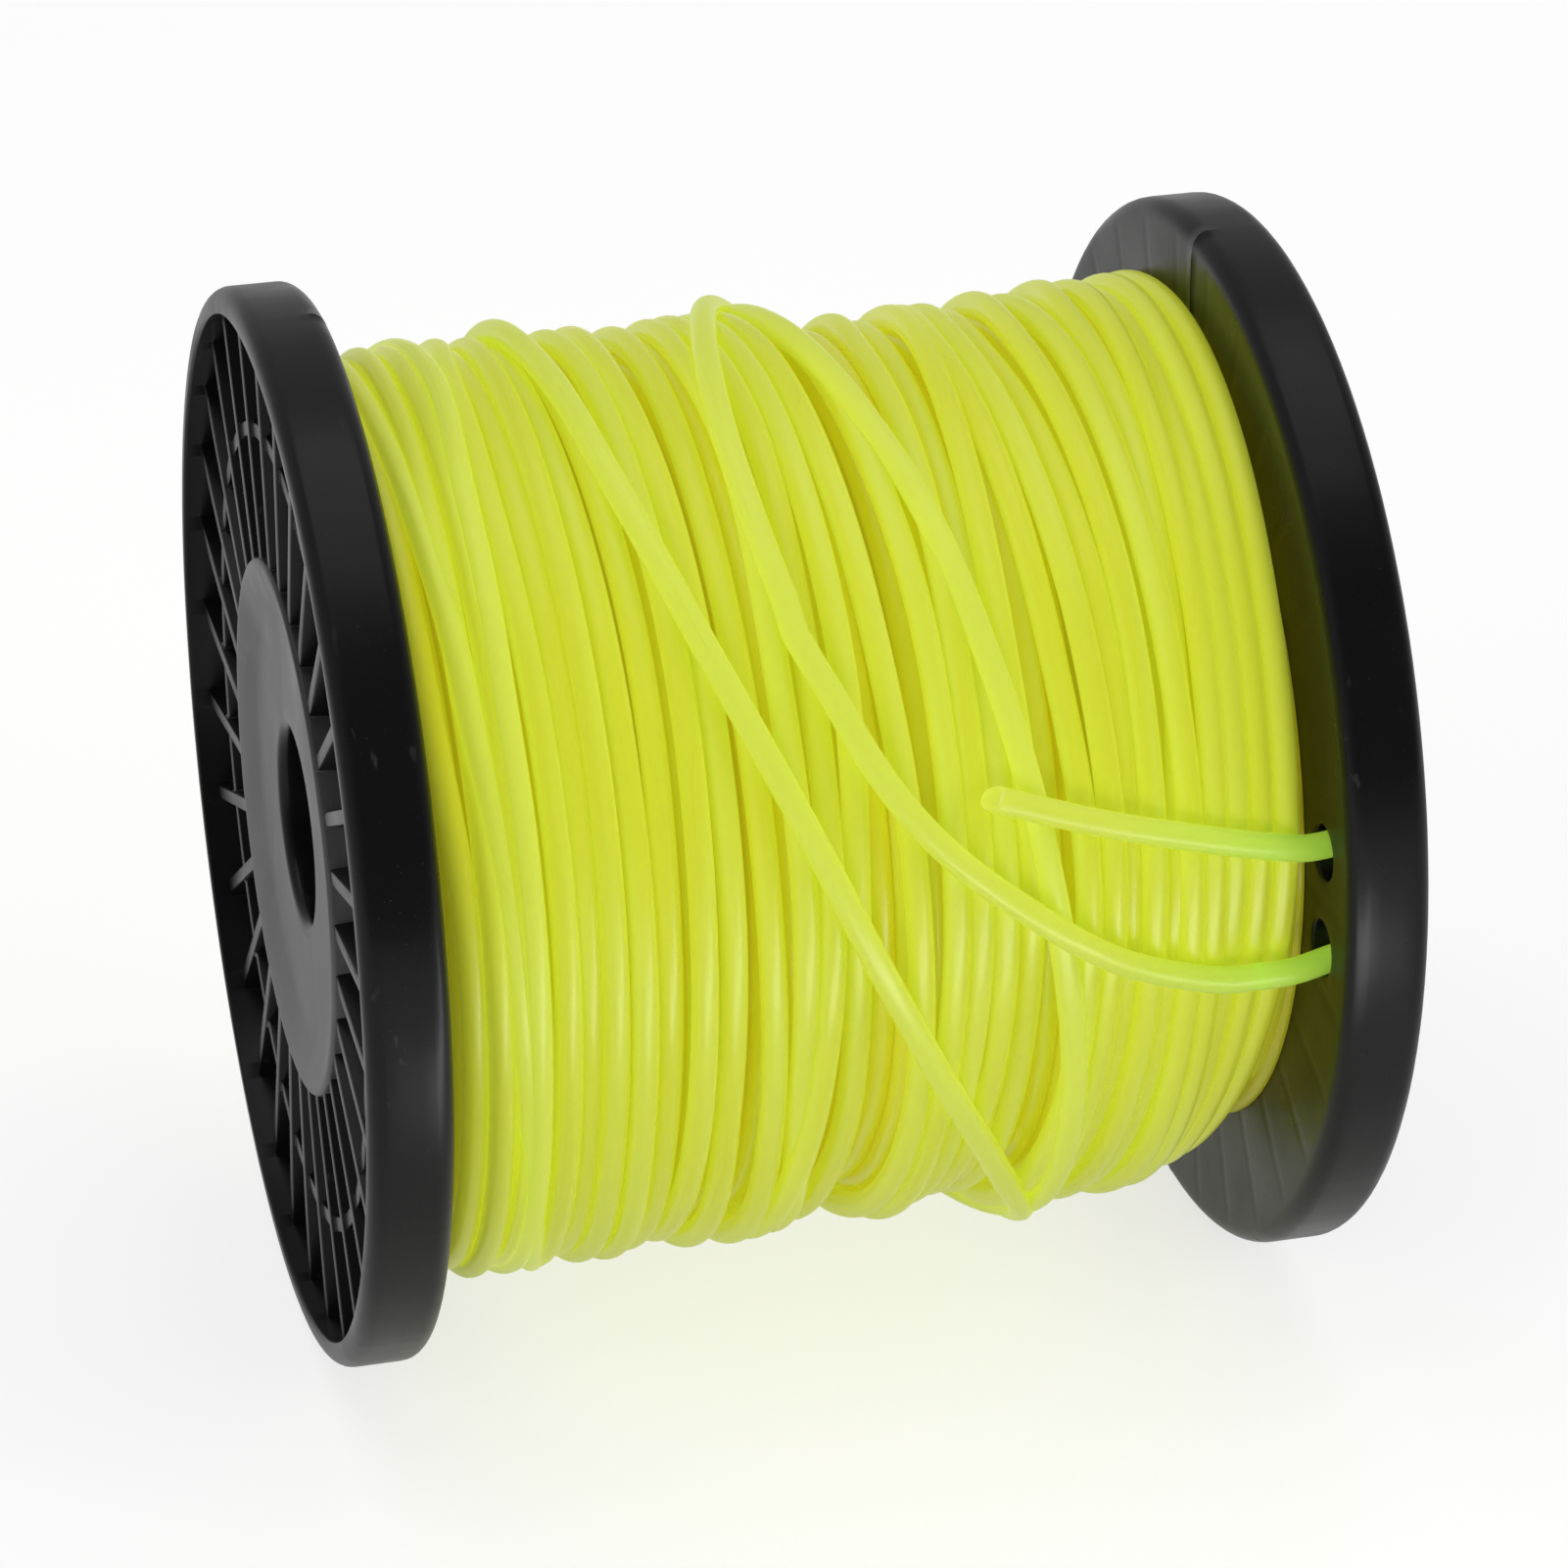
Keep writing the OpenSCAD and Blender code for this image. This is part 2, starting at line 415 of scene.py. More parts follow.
@dataclass(frozen=True)
class LinePlastic:
    """Clear fluorescent nylon; its emission is painted light that fills the shade between turns.

    Attributes:
        name: Name of the material.
        lit: Colour of a turn that lies free on top.
        painted_low_shade: Painted shade: the darker, more orange colour of a turn low in the pile
            or by a flange.
        milky: Colour of the paler lengths.
        free: Painted shade of a dark backing: the greener colour of the line with air or black
            behind it.
        painted_glow_open: Painted light sent out of an open side.
        painted_glow_between_turns: Painted light that fills the shade between two turns.
        painted_glow_under_turns: The same for the turns under them.
        painted_glow_free_length: The same for a free length.
        rough: Roughness of the surface, lowest and highest.
        scatter: How far light goes in the line, in metres.
        gloss: Strength of the mirror light.
    """

    name: str
    lit: Colour = (0.63, 0.685, 0.044)
    # Painted shade: a darker, more orange copy of the colour of a turn on top.
    painted_low_shade: Colour = (0.70, 0.68, 0.020)
    milky: Colour = (0.66, 0.76, 0.12)
    # Painted shade of a dark backing: greener where air or black lies behind the line.
    free: Colour = (0.42, 0.78, 0.11)
    # Painted light: emission colours that fill shade, by how shut in a point is.
    painted_glow_open: Colour = (0.15, 0.17, 0.009)
    painted_glow_between_turns: Colour = (0.178, 0.195, 0.013)
    painted_glow_under_turns: Colour = (0.125, 0.115, 0.0025)
    painted_glow_free_length: Colour = (0.11, 0.20, 0.012)
    rough: Pair = (0.26, 0.34)
    scatter: float = 3.0 * MM
    gloss: float = 0.35

    def material(self) -> bpy.types.Material:
        """Puts the finish together.

        Returns:
            The material.
        """
        bench = ShaderBench(self.name)
        # Painted shade, painted green of a dark backing, and the mask of painted light.
        depth, free, painted_light_mask = (bench.stored(name) for name in ("depth", "free", "painted_light_mask"))
        run = bench.stored("run", "Vector")
        lengths = bench.noise(bench.stretched(run, (24.0, 0.7, 0.7)), 1.0, 1.0)
        # Painted shade: low turns and turns by the flanges take the darker colour.
        pile = bench.blend(depth, self.lit, self.painted_low_shade)
        patchy = bench.span(lengths, (0.42, 0.72), (0.0, 0.7))
        pale = bench.math("MAXIMUM", bench.stored("pale"), patchy)
        varied = bench.blend(pale, pile, self.milky)
        # Painted light: emission that fills the shade between and under turns, and on free lengths.
        within = bench.blend(depth, self.painted_glow_between_turns, self.painted_glow_under_turns)
        painted_glow = bench.blend(free, bench.blend(painted_light_mask, self.painted_glow_open, within), self.painted_glow_free_length)
        return bench.finish(
            {
                "Base Color": bench.blend(free, varied, self.free),
                "Roughness": bench.span(lengths, (0.3, 0.7), self.rough),
                "IOR": 1.5,
                "Specular IOR Level": self.gloss,
                "Subsurface Weight": 1.0,
                "Subsurface Radius": (1.0, 0.95, 0.5),
                "Subsurface Scale": self.scatter,
                "Emission Color": painted_glow,
                "Emission Strength": 1.0,
            }
        )


@dataclass(frozen=True)
class FloorPaper:
    """White seamless paper under the spool, which stays white where it is lit.

    Attributes:
        name: Name of the material.
        colour: Colour of the paper.
        fill: White added to what the camera and reflections see of it.
        mirrored: Share of it that reflections get.
    """

    name: str = "floor_paper"
    colour: Colour = (0.5, 0.5, 0.5)
    fill: float = 0.7
    mirrored: float = 0.6

    def material(self) -> bpy.types.Material:
        """Puts the finish together.

        Returns:
            The material.
        """
        bench = ShaderBench(self.name)
        rays = bench.add("LightPath").outputs
        mirrored = bench.math("MULTIPLY", rays["Is Glossy Ray"], self.mirrored)
        seen = bench.math("MAXIMUM", rays["Is Camera Ray"], mirrored)
        seen = bench.math("MAXIMUM", seen, rays["Is Transmission Ray"])
        white = bench.add(
            "Emission",
            {"Color": (1.0, 1.0, 1.0, 1.0), "Strength": bench.math("MULTIPLY", seen, self.fill)},
        )
        paper = bench.add("BsdfDiffuse", {"Color": (*self.colour, 1.0)})
        both = bench.add("AddShader")
        bench.tree.links.new(paper.outputs["BSDF"], both.inputs[0])
        bench.tree.links.new(white.outputs["Emission"], both.inputs[1])
        output = bench.add("OutputMaterial")
        bench.tree.links.new(both.outputs["Shader"], output.inputs["Surface"])
        return bench.material


def dress(piece: bpy.types.Object, *materials: bpy.types.Material) -> None:
    """Gives a piece its materials in place of those it has.

    Args:
        piece: The mesh object.
        materials: The materials, in the order of the faces' numbers.
    """
    piece.data.materials.clear()
    for material in materials:
        piece.data.materials.append(material)


# ---- spool ---------------------------------------------------------------


# Share of a rounded corner's radius by which its middle point is set in.
CORNER = 0.3


@dataclass
class Flange:
    """One ribbed flange of the spool, with web, rim, lip and dished hub.

    Sections are given as distance from the axis and height over the plane of
    the lip, which is 0; everything else lies below it.

    Attributes:
        side: The end of the spool it is on.
        axis_z: Height of the axis, in metres.
        lip_x: Place of the lip's plane along the axis, in metres.
        outer_r: Radius over the rim.
        first_rib: Angle of one rib, in degrees.
        seam_angle: Angle near which the mould's parting line runs, in degrees.
        hole_angles: Angles of the holes for the line's end, in degrees.
        saddle_span: Where the rib between the holes is cut down.
    """

    side: Side
    axis_z: float
    lip_x: float
    outer_r: float
    first_rib: float
    rim_w: float = 8.4 * MM
    web_t: float = 2.6 * MM
    lip_t: float = 2.7 * MM
    lip_round: float = 0.35 * MM
    outer_round: float = 1.8 * MM
    inner_round: float = 2.0 * MM
    rib_count: int = 31
    rib_t: float = 1.5 * MM
    rib_draft: float = 0.4 * MM
    rib_drop: float = 1.8 * MM
    rib_round: float = 0.24 * MM
    foot_fillet: float = 0.45 * MM
    ring_r: float = 41.4 * MM
    ring_t: float = 1.6 * MM
    ring_drop: float = 2.2 * MM
    hub_r: float = 27.5 * MM
    hub_drop: float = 1.4 * MM
    hub_round: float = 0.5 * MM
    dish_r: float = 21.7 * MM
    dish_drop: float = 2.8 * MM
    hub_floor_t: float = 2.6 * MM
    bore_r: float = 10.0 * MM
    bore_round: float = 1.0 * MM
    barrel_inner_r: float = 23.4 * MM
    seam_height: float = 0.09 * MM
    seam_half: float = 0.14 * MM
    seam_angle: float = 92.0
    sink_depth: float = 0.05 * MM
    sink_half: float = 0.9 * MM
    hole_angles: tuple[float, ...] = ()
    hole_r: float = 46.6 * MM
    hole_d: float = 5.6 * MM
    hole_round: float = 0.35 * MM
    hole_sides: int = 48
    saddle_drop: float = 3.3 * MM
    saddle_span: Pair = (43.0 * MM, 50.2 * MM)

    @property
    def name(self) -> str:
        """The CAD node's name."""
        return f"{self.side.name.lower()}_flange"

    @property
    def web_top(self) -> float:
        """Height of the web's outer face."""
        return self.web_t - self.rim_w

    @property
    def lip_inner(self) -> float:
        """Radius of the lip's inner wall."""
        return self.outer_r - self.lip_t

    @property
    def pitch(self) -> float:
        """Angle from one rib to the next, in degrees."""
        return 360 / self.rib_count

    def rib_steps(self) -> list[float]:
        """Where a rib's surface bends, from its top's edge down to its foot.

        Returns:
            Distances from the rib's middle, rising.
        """
        half, foot = self.rib_t / 2, (self.rib_t + self.rib_draft) / 2
        rnd, fil = self.rib_round, self.foot_fillet
        return [half - rnd, half - CORNER * rnd, half, foot, foot + CORNER * fil, foot + fil]

    def seams(self) -> tuple[int, int]:
        """Numbers of the pocket and of the rib that the parting line is on."""
        pocket = round((self.seam_angle - self.first_rib) / self.pitch - 0.5) % self.rib_count
        return pocket, (pocket + (self.rib_count + 1) // 2) % self.rib_count

    def section(self) -> list[tuple[float, float, str]]:
        """The closed half section, without ribs.

        Returns:
            Radius, height and zone of each point: bore, hub, ribs, rim or back.
        """
        web, fil, rnd = self.web_top, self.foot_fillet, self.rib_round
        hub_floor = -self.dish_drop - self.hub_floor_t
        ring_in = self.ring_r - self.ring_t
        wall = 0.06 * MM
        bore = [(self.bore_r, hub_floor), (self.bore_r, -self.dish_drop - 1.4 * MM)]
        bore += arc_points(
            (self.bore_r + self.bore_round, -self.dish_drop - self.bore_round),
            self.bore_round, 180, 90, 6,
        )
        hub = [(r * MM, -self.dish_drop) for r in (11.6, 14.0, 17.5, 20.6)]
        hub += [
            (self.dish_r, -self.dish_drop + 0.04 * MM),
            (self.dish_r + 0.7 * MM, -self.dish_drop + 0.22 * MM),
            (self.dish_r + 2.6 * MM, -self.dish_drop + 0.8 * MM),
            (self.hub_r - self.hub_round - 0.5 * MM, -self.hub_drop - 0.03 * MM),
        ]
        hub += arc_points(
            (self.hub_r - self.hub_round, -self.hub_drop - self.hub_round),
            self.hub_round, 90, 0, 5,
        )
        ribs = [
            (self.hub_r + wall, web + fil),
            (self.hub_r + wall + CORNER * fil, web + CORNER * fil),
            (self.hub_r + wall + fil, web), (self.hub_r + 2.2 * MM, web),
            (33.0 * MM, web), (36.5 * MM, web),
            (ring_in - wall - fil, web), (ring_in - wall - CORNER * fil, web + CORNER * fil),
            (ring_in - wall, web + fil),
            (ring_in, -self.ring_drop - rnd),
            (ring_in + CORNER * rnd, -self.ring_drop - CORNER * rnd),
            (ring_in + rnd, -self.ring_drop), (self.ring_r - rnd, -self.ring_drop),
            (self.ring_r - CORNER * rnd, -self.ring_drop - CORNER * rnd),
            (self.ring_r, -self.ring_drop - rnd),
            (self.ring_r + wall, web + fil),
            (self.ring_r + wall + CORNER * fil, web + CORNER * fil),
            (self.ring_r + wall + fil, web),
            *((r * MM, web) for r in (42.8, 43.6, 46.6, 49.6, 50.4)),
            (self.lip_inner - wall - fil, web),
            (self.lip_inner - wall - CORNER * fil, web + CORNER * fil),
            (self.lip_inner - wall, web + fil),
        ]
        rim = arc_points(
            (self.lip_inner + self.lip_round, -self.lip_round), self.lip_round, 180, 90, 4
        )
        rim += arc_points(
            (self.outer_r - self.outer_round, -self.outer_round), self.outer_round, 90, 0, 8
        )
        rim += [(self.outer_r, -self.rim_w * share) for share in (0.36, 0.5, 0.62)]
        rim += arc_points(
            (self.outer_r - self.inner_round, self.inner_round - self.rim_w),
            self.inner_round, 0, -90, 8,
        )
        back = [(r * MM, -self.rim_w) for r in (52.0, 50.0, 46.6, 43.0, 39.0, 34.0, 29.0, 26.0)]
        back += [
            (self.barrel_inner_r, -self.rim_w), (self.barrel_inner_r, hub_floor),
            (16.0 * MM, hub_floor),
        ]
        zones = (("bore", bore), ("hub", hub), ("ribs", ribs), ("rim", rim), ("back", back))
        return [(r, z, zone) for zone, points in zones for r, z in points]

    def columns(self) -> list[Triple]:
        """The columns of the grid, in order round the axis.

        A column is its line's angle in degrees, its distance from that line,
        and its share of a pocket's half angle, for columns between two ribs.

        Returns:
            The columns of all ribs, pockets and parting lines.
        """
        seam = [0.5 * self.seam_half, self.seam_half]
        seam_pocket, seam_rib = self.seams()
        made: list[Triple] = []
        for i in range(self.rib_count):
            line = self.first_rib + i * self.pitch
            offsets = sorted([0.0, *(seam if i == seam_rib else []), *self.rib_steps()])
            both = [-y for y in reversed(offsets[1:])] + offsets
            made += [(line, y, 0.0) for y in both]
            middle = line + self.pitch / 2
            if i == seam_pocket:
                made.append((middle, 0.0, -0.5))
                made += [(middle, y, 0.0) for y in (-seam[1], -seam[0], 0.0, *seam)]
                made.append((middle, 0.0, 0.5))
            else:
                made += [(middle, 0.0, -1 / 3), (middle, 0.0, 1 / 3)]
        return made

    def rib_height(self, offset: np.ndarray, radius: float, saddle: np.ndarray) -> np.ndarray:
        """Height of the ribs' surface.

        Args:
            offset: Distance from the nearest rib's middle.
            radius: Distance from the axis.
            saddle: Whether the nearest rib has the saddle for the line.

        Returns:
            The height, which is the web's between the ribs.
        """
        rnd, fil, web = self.rib_round, self.foot_fillet, self.web_top
        low = saddle & (self.saddle_span[0] < radius) & (radius < self.saddle_span[1])
        top = np.where(low, -self.saddle_drop, -self.rib_drop)
        place = [0.0, *self.rib_steps(), 1.0]
        across = np.abs(offset)
        share = np.interp(across, place, [1.0, 1.0, 1.0, 1.0, 0.0, 0.0, 0.0, 0.0])
        fall = np.interp(across, place, [0.0, 0.0, -CORNER * rnd, -rnd, 0.0, 0.0, 0.0, 0.0])
        rise = np.interp(across, place, [0.0, 0.0, 0.0, 0.0, fil, CORNER * fil, 0.0, 0.0])
        return web + share * (top - web) + fall + rise

    def build(self, plastic: bpy.types.Material, worn_and_sheen: bpy.types.Material) -> bpy.types.Object:
        """Makes and dresses the flange's mesh.

        Args:
            plastic: The spool's finish.
            worn_and_sheen: The hub face's finish: scuffs and a painted sheen, lighter towards the
                bottom.

        Returns:
            The flange as one closed mesh.
        """
        columns = self.columns()
        line = np.radians([c[0] for c in columns])
        offset = np.array([c[1] for c in columns])
        share = np.array([c[2] for c in columns])
        pitch = 2 * math.pi / self.rib_count
        edge = self.rib_steps()[-1]
        first = math.radians(self.first_rib)
        seam_pocket, seam_rib = self.seams()
        seam_lines = [
            math.radians(self.first_rib + number * self.pitch)
            for number in (seam_pocket + 0.5, seam_rib)
        ]
        rows, zones = [], []
        for radius, height, zone in self.section():
            near = min(max(radius, self.hub_r), self.lip_inner)
            pocket = pitch / 2 - math.asin(edge / near)
            angle = line + np.arcsin(offset / near) + share * pocket
            turns = np.round((angle - first) / pitch)
            from_rib = near * np.sin(angle - first - turns * pitch)
            high, far = np.full(len(columns), height), np.full(len(columns), radius)
            if zone == "ribs" or (zone == "hub" and radius > self.hub_r - 0.01 * MM):
                cut = np.isin(turns % self.rib_count, [self.saddle_rib()])
                high = np.maximum(high, self.rib_height(from_rib, radius, cut))
            if zone == "back" and self.hub_r < radius < self.lip_inner:
                high = high + self.sink_depth * np.exp(-((from_rib / self.sink_half) ** 2))
            ridge = sum(
                np.maximum(0, 1 - np.abs(near * np.sin(angle - seam)) / self.seam_half)
                * (np.cos(angle - seam) > 0)
                for seam in seam_lines
            )
            if zone == "rim":
                far = far + self.seam_height * ridge * (height < -self.outer_round)
            if zone == "back" and radius > self.barrel_inner_r + 0.1 * MM:
                high = high - self.seam_height * ridge
            x = self.lip_x + self.side.value * high
            rows.append(around_axis(x, angle, np.minimum(far, self.outer_r), self.axis_z))
            zones.append(zone)
        points = np.array(rows)
        faces = ring_faces(len(rows), len(columns), True)
        made = mesh_object(self.name + "_shell", points, faces)
        dress(made, plastic, worn_and_sheen)
        # The hub's faces take the finish with the painted sheen.
        rubbed_and_sheen = [zones[f // len(columns)] == "hub" for f in range(len(faces))]
        made.data.polygons.foreach_set("material_index", [int(r) for r in rubbed_and_sheen])
        for angle_deg in self.hole_angles:
            self.drill(made, angle_deg)
        made.data.set_sharp_from_angle(angle=FLANGE_CREASE)
        return made

    def saddle_rib(self) -> int:
        """Finds the rib that is cut down for the line.

        Returns:
            Number of the rib between the two holes, or -1 without holes.
        """
        if not self.hole_angles:
            return -1
        middle = sum(self.hole_angles) / len(self.hole_angles)
        return round((middle - self.first_rib) / self.pitch) % self.rib_count

    def drill(self, piece: bpy.types.Object, angle_deg: float) -> None:
        """Cuts one round hole with a rounded mouth through the web.

        Args:
            piece: The flange's mesh object, which is changed.
            angle_deg: Angle of the hole around the axis.
        """
        radius, rnd, past = self.hole_d / 2, self.hole_round, 2 * MM
        back, front = -self.rim_w, self.web_top
        profile = [(radius + rnd, back - past), (radius + rnd, back)]
        profile += arc_points((radius + rnd, back + rnd), rnd, 270, 180, 4)[1:]
        profile += [(radius, front + past)]
        sides = self.hole_sides
        around = np.linspace(0, 2 * math.pi, sides, endpoint=False)
        angle = math.radians(angle_deg)
        centre = around_axis(np.float64(0), np.float64(angle), np.float64(self.hole_r), self.axis_z)
        rows = [
            np.stack(
                [
                    np.full(sides, self.lip_x + self.side.value * z),
                    centre[1] + r * np.cos(around),
                    centre[2] + r * np.sin(around),
                ],
                axis=-1,
            )
            for r, z in profile
        ]
        faces: list[Sequence[int]] = list(ring_faces(len(rows), sides, False))
        faces += [range(sides), range((len(rows) - 1) * sides, len(rows) * sides)]
        cutter = mesh_object("hole_cutter", np.array(rows), faces)
        step = piece.modifiers.new("hole", "BOOLEAN")
        step.operation, step.solver, step.object = "DIFFERENCE", "EXACT", cutter
        graph = bpy.context.evaluated_depsgraph_get()
        cut = bpy.data.meshes.new_from_object(piece.evaluated_get(graph))
        piece.modifiers.clear()
        piece.data = cut
        bpy.data.objects.remove(cutter)

    def place(self, plastic: bpy.types.Material, worn_and_sheen: bpy.types.Material) -> None:
        """Builds and dresses the flange in place of its CAD node.

        Args:
            plastic: The spool's finish.
            worn_and_sheen: The hub face's finish: scuffs and a painted sheen, lighter towards the
                bottom.
        """
        made = self.build(plastic, worn_and_sheen)
        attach(made, BODY)
        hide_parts(self.name)
        LOG.info("%s: %d faces", made.name, len(made.data.polygons))


# ---- line ----------------------------------------------------------------


@dataclass
class LinePath:
    """A stretch of line as points around the spool's axis.

    Attributes:
        x: Places along the axis, in metres.
        angle: Angles, in radians, that fall as the line goes round.
        radius: Distances of the line's middle from the axis, in metres.
    """

    x: np.ndarray
    angle: np.ndarray
    radius: np.ndarray

    def points(self, axis_z: float) -> np.ndarray:
        """The points in the scene's frame."""
        return around_axis(self.x, self.angle, self.radius, axis_z)


# How far from the flange with the holes the painted green of the black flange behind the
# clear line shows, and its most.
PAINTED_BACKING_REACH = 26 * MM
PAINTED_BACKING_MOST = 0.85


def painted_backing_share(x: np.ndarray, gap_half: float) -> np.ndarray:
    """How much painted green of the black flange behind the line shows near the flange with the
    holes.

    Args:
        x: Places along the axis, in metres.
        gap_half: Half the space between the flanges, in metres.

    Returns:
        The share, which falls away from the flange.
    """
    near = np.clip(1 - (gap_half - x) / PAINTED_BACKING_REACH, 0, 1)
    return PAINTED_BACKING_MOST * near**1.5


def paint_line(
    piece: bpy.types.Object,
    depth: np.ndarray | float,
    free: np.ndarray | float,
    pale: np.ndarray | float,
    painted_light_mask: np.ndarray | float,
) -> None:
    """Stores what the line's finish reads on the points of a piece of line.

    Args:
        piece: The piece.
        depth: How low each point's turn lies in the pile, or how near a flange: painted shade.
        free: How much of the painted green of a dark backing shows.
        pale: How milky it is.
        painted_light_mask: How much of its outlook is taken, which sets its painted light.
    """
    count = len(piece.data.vertices)
    for name, value in (("depth", depth), ("free", free), ("pale", pale), ("painted_light_mask", painted_light_mask)):
        paint_points(piece, name, np.broadcast_to(value, count))


@dataclass
class LineTube:
    """Sweeps the round line along a path.

    Attributes:
        radius: Radius of the line, in metres.
        sides: Sides of one ring.
        axis_z: Height of the spool's axis, in metres.
    """

    radius: float
    sides: int
    axis_z: float

    def rings(self, path: LinePath) -> np.ndarray:
        """Rings of points round the path.

        Args:
            path: The line's path.

        Returns:
            Points by ring and side.
        """
        middle = path.points(self.axis_z)
        along = np.gradient(middle, axis=0)
        along /= np.linalg.norm(along, axis=1, keepdims=True)
        out = around_axis(
            np.zeros_like(path.x), path.angle, np.ones_like(path.x), 0.0
        )
        out -= (out * along).sum(axis=1, keepdims=True) * along
        out /= np.linalg.norm(out, axis=1, keepdims=True)
        across = np.cross(along, out)
        turn = np.linspace(0, 2 * math.pi, self.sides, endpoint=False)[None, :, None]
        return middle[:, None] + self.radius * (
            np.cos(turn) * out[:, None] + np.sin(turn) * across[:, None]
        )

    def build(self, name: str, path: LinePath, start: float = 0.0) -> bpy.types.Object:
        """Makes the line as a closed tube.

        Args:
            name: Name of the piece.
            path: The line's path.
            start: Length of line that comes before it, in metres.

        Returns:
            The tube, with the run of the line stored on its points.
        """
        rings = self.rings(path)
        count = len(rings)
        faces: list[Sequence[int]] = list(ring_faces(count, self.sides, False))
        faces += [range(self.sides), range((count - 1) * self.sides, count * self.sides)]
        made = mesh_object(name, rings, faces)
        steps = np.linalg.norm(np.diff(path.points(self.axis_z), axis=0), axis=1)
        length = start + np.concatenate([[0.0], np.cumsum(steps)])
        turn = np.linspace(0, 2 * math.pi, self.sides, endpoint=False)
        run = np.empty((count, self.sides, 3))
        run[..., 0] = length[:, None]
        run[..., 1], run[..., 2] = np.cos(turn), np.sin(turn)
        made.data.set_sharp_from_angle(angle=LINE_CREASE)
        layer = made.data.attributes.new("run", "FLOAT_VECTOR", "POINT")
        layer.data.foreach_set("vector", run.astype(np.float32).ravel())
        return made


def hermite(
    knots: np.ndarray, values: np.ndarray, at: np.ndarray, steady: bool = False
) -> np.ndarray:
    """A smooth curve through values at knots.

    Args:
        knots: Rising places of the values.
        values: The values at the knots.
        at: Places to evaluate.
        steady: Whether the curve stays between its neighbouring knots.

    Returns:
        The curve's values there.
    """
    slope = np.gradient(values, knots)
    if steady:
        rise = np.diff(values) / np.diff(knots)
        before, after = rise[:-1], rise[1:]
        both = np.where(before * after > 0, before + after, 1.0)
        slope[1:-1] = np.where(before * after > 0, 2 * before * after / both, 0.0)
    i = np.clip(np.searchsorted(knots, at) - 1, 0, len(knots) - 2)
    width = knots[i + 1] - knots[i]
    t = (at - knots[i]) / width
    return (
        (1 + 2 * t) * (1 - t) ** 2 * values[i]
        + t * (1 - t) ** 2 * width * slope[i]
        + t * t * (3 - 2 * t) * values[i + 1]
        - t * t * (1 - t) * width * slope[i + 1]
    )


# Where each turn of the outer layer passes the STATION_ANGLES, in mm along
# the axis, in the order in which they were laid, so a turn rides on those
# above it in the table that it comes close to.  It has its first place from
# HELD_FROM on, so turns change places only behind and below.
STATION_ANGLES = (114.0, 95.0, 70.0, 40.0, 10.0, -20.0, -45.0)
HELD_FROM = 150.0
LAID_TURNS = (
    (38.6, 37.8, 37.0, 36.1, 35.3, 34.3, 33.4),
    (40.4, 40.0, 39.4, 38.5, 37.8, 36.3, 35.0),
    (42.5, 42.5, 41.9, 40.9, 40.4, 38.6, 36.9),
    (33.2, 31.9, 32.2, 31.4, 29.6, 27.8, 27.1),
    (36.1, 35.5, 34.7, 33.9, 33.1, 32.4, 31.7),
    (29.1, 29.2, 29.6, 30.4, 30.8, 30.3, 29.6),
    (22.7, 21.9, 23.3, 24.6, 24.9, 23.7, 22.5),
    (26.2, 25.3, 26.2, 27.1, 27.1, 25.8, 24.8),
    (20.4, 19.6, 20.7, 22.2, 23.0, 21.7, 20.3),
    (18.2, 17.2, 17.9, 19.1, 20.4, 19.6, 18.2),
    (13.4, 12.8, 12.4, 12.0, 12.1, 11.4, 10.4),
    (17.0, 16.2, 15.0, 14.2, 14.8, 14.4, 13.6),
    (11.0, 10.1, 10.0, 9.5, 9.6, 8.7, 7.9),
    (4.0, 4.6, 5.4, 6.9, 7.1, 6.3, 5.6),
    (-1.4, -0.4, 0.7, 2.1, 3.2, 3.9, 3.2),
    (-3.9, -3.0, -2.2, -1.8, -2.6, -2.5, -3.1),
    (-8.4, -8.6, -7.8, -8.3, -7.9, -7.9, -6.3),
    (-6.3, -5.6, -4.8, -4.9, -5.2, -6.6, -8.3),
    (-12.1, -12.1, -12.1, -11.8, -11.3, -10.6, -10.4),
    (-19.2, -18.8, -18.4, -17.8, -18.0, -18.2, -18.3),
    (-16.6, -16.7, -15.8, -15.0, -14.9, -15.2, -14.9),
    (-22.0, -22.2, -21.7, -21.1, -21.3, -21.4, -21.0),
    (-24.8, -25.3, -24.8, -24.1, -23.9, -24.0, -23.5),
    (-29.9, -30.0, -29.9, -29.5, -29.3, -29.1, -28.8),
    (-27.3, -27.6, -27.4, -27.0, -26.8, -26.8, -26.4),
    (-30.4, -32.2, -32.6, -31.9, -31.5, -31.4, -31.2),
    (-42.5, -42.5, -42.3, -42.0, -40.5, -40.4, -40.2),
    (-35.6, -36.0, -35.9, -35.8, -35.5, -35.2, -35.0),
    (-38.4, -38.7, -38.6, -38.5, -38.2, -37.9, -37.7),
)
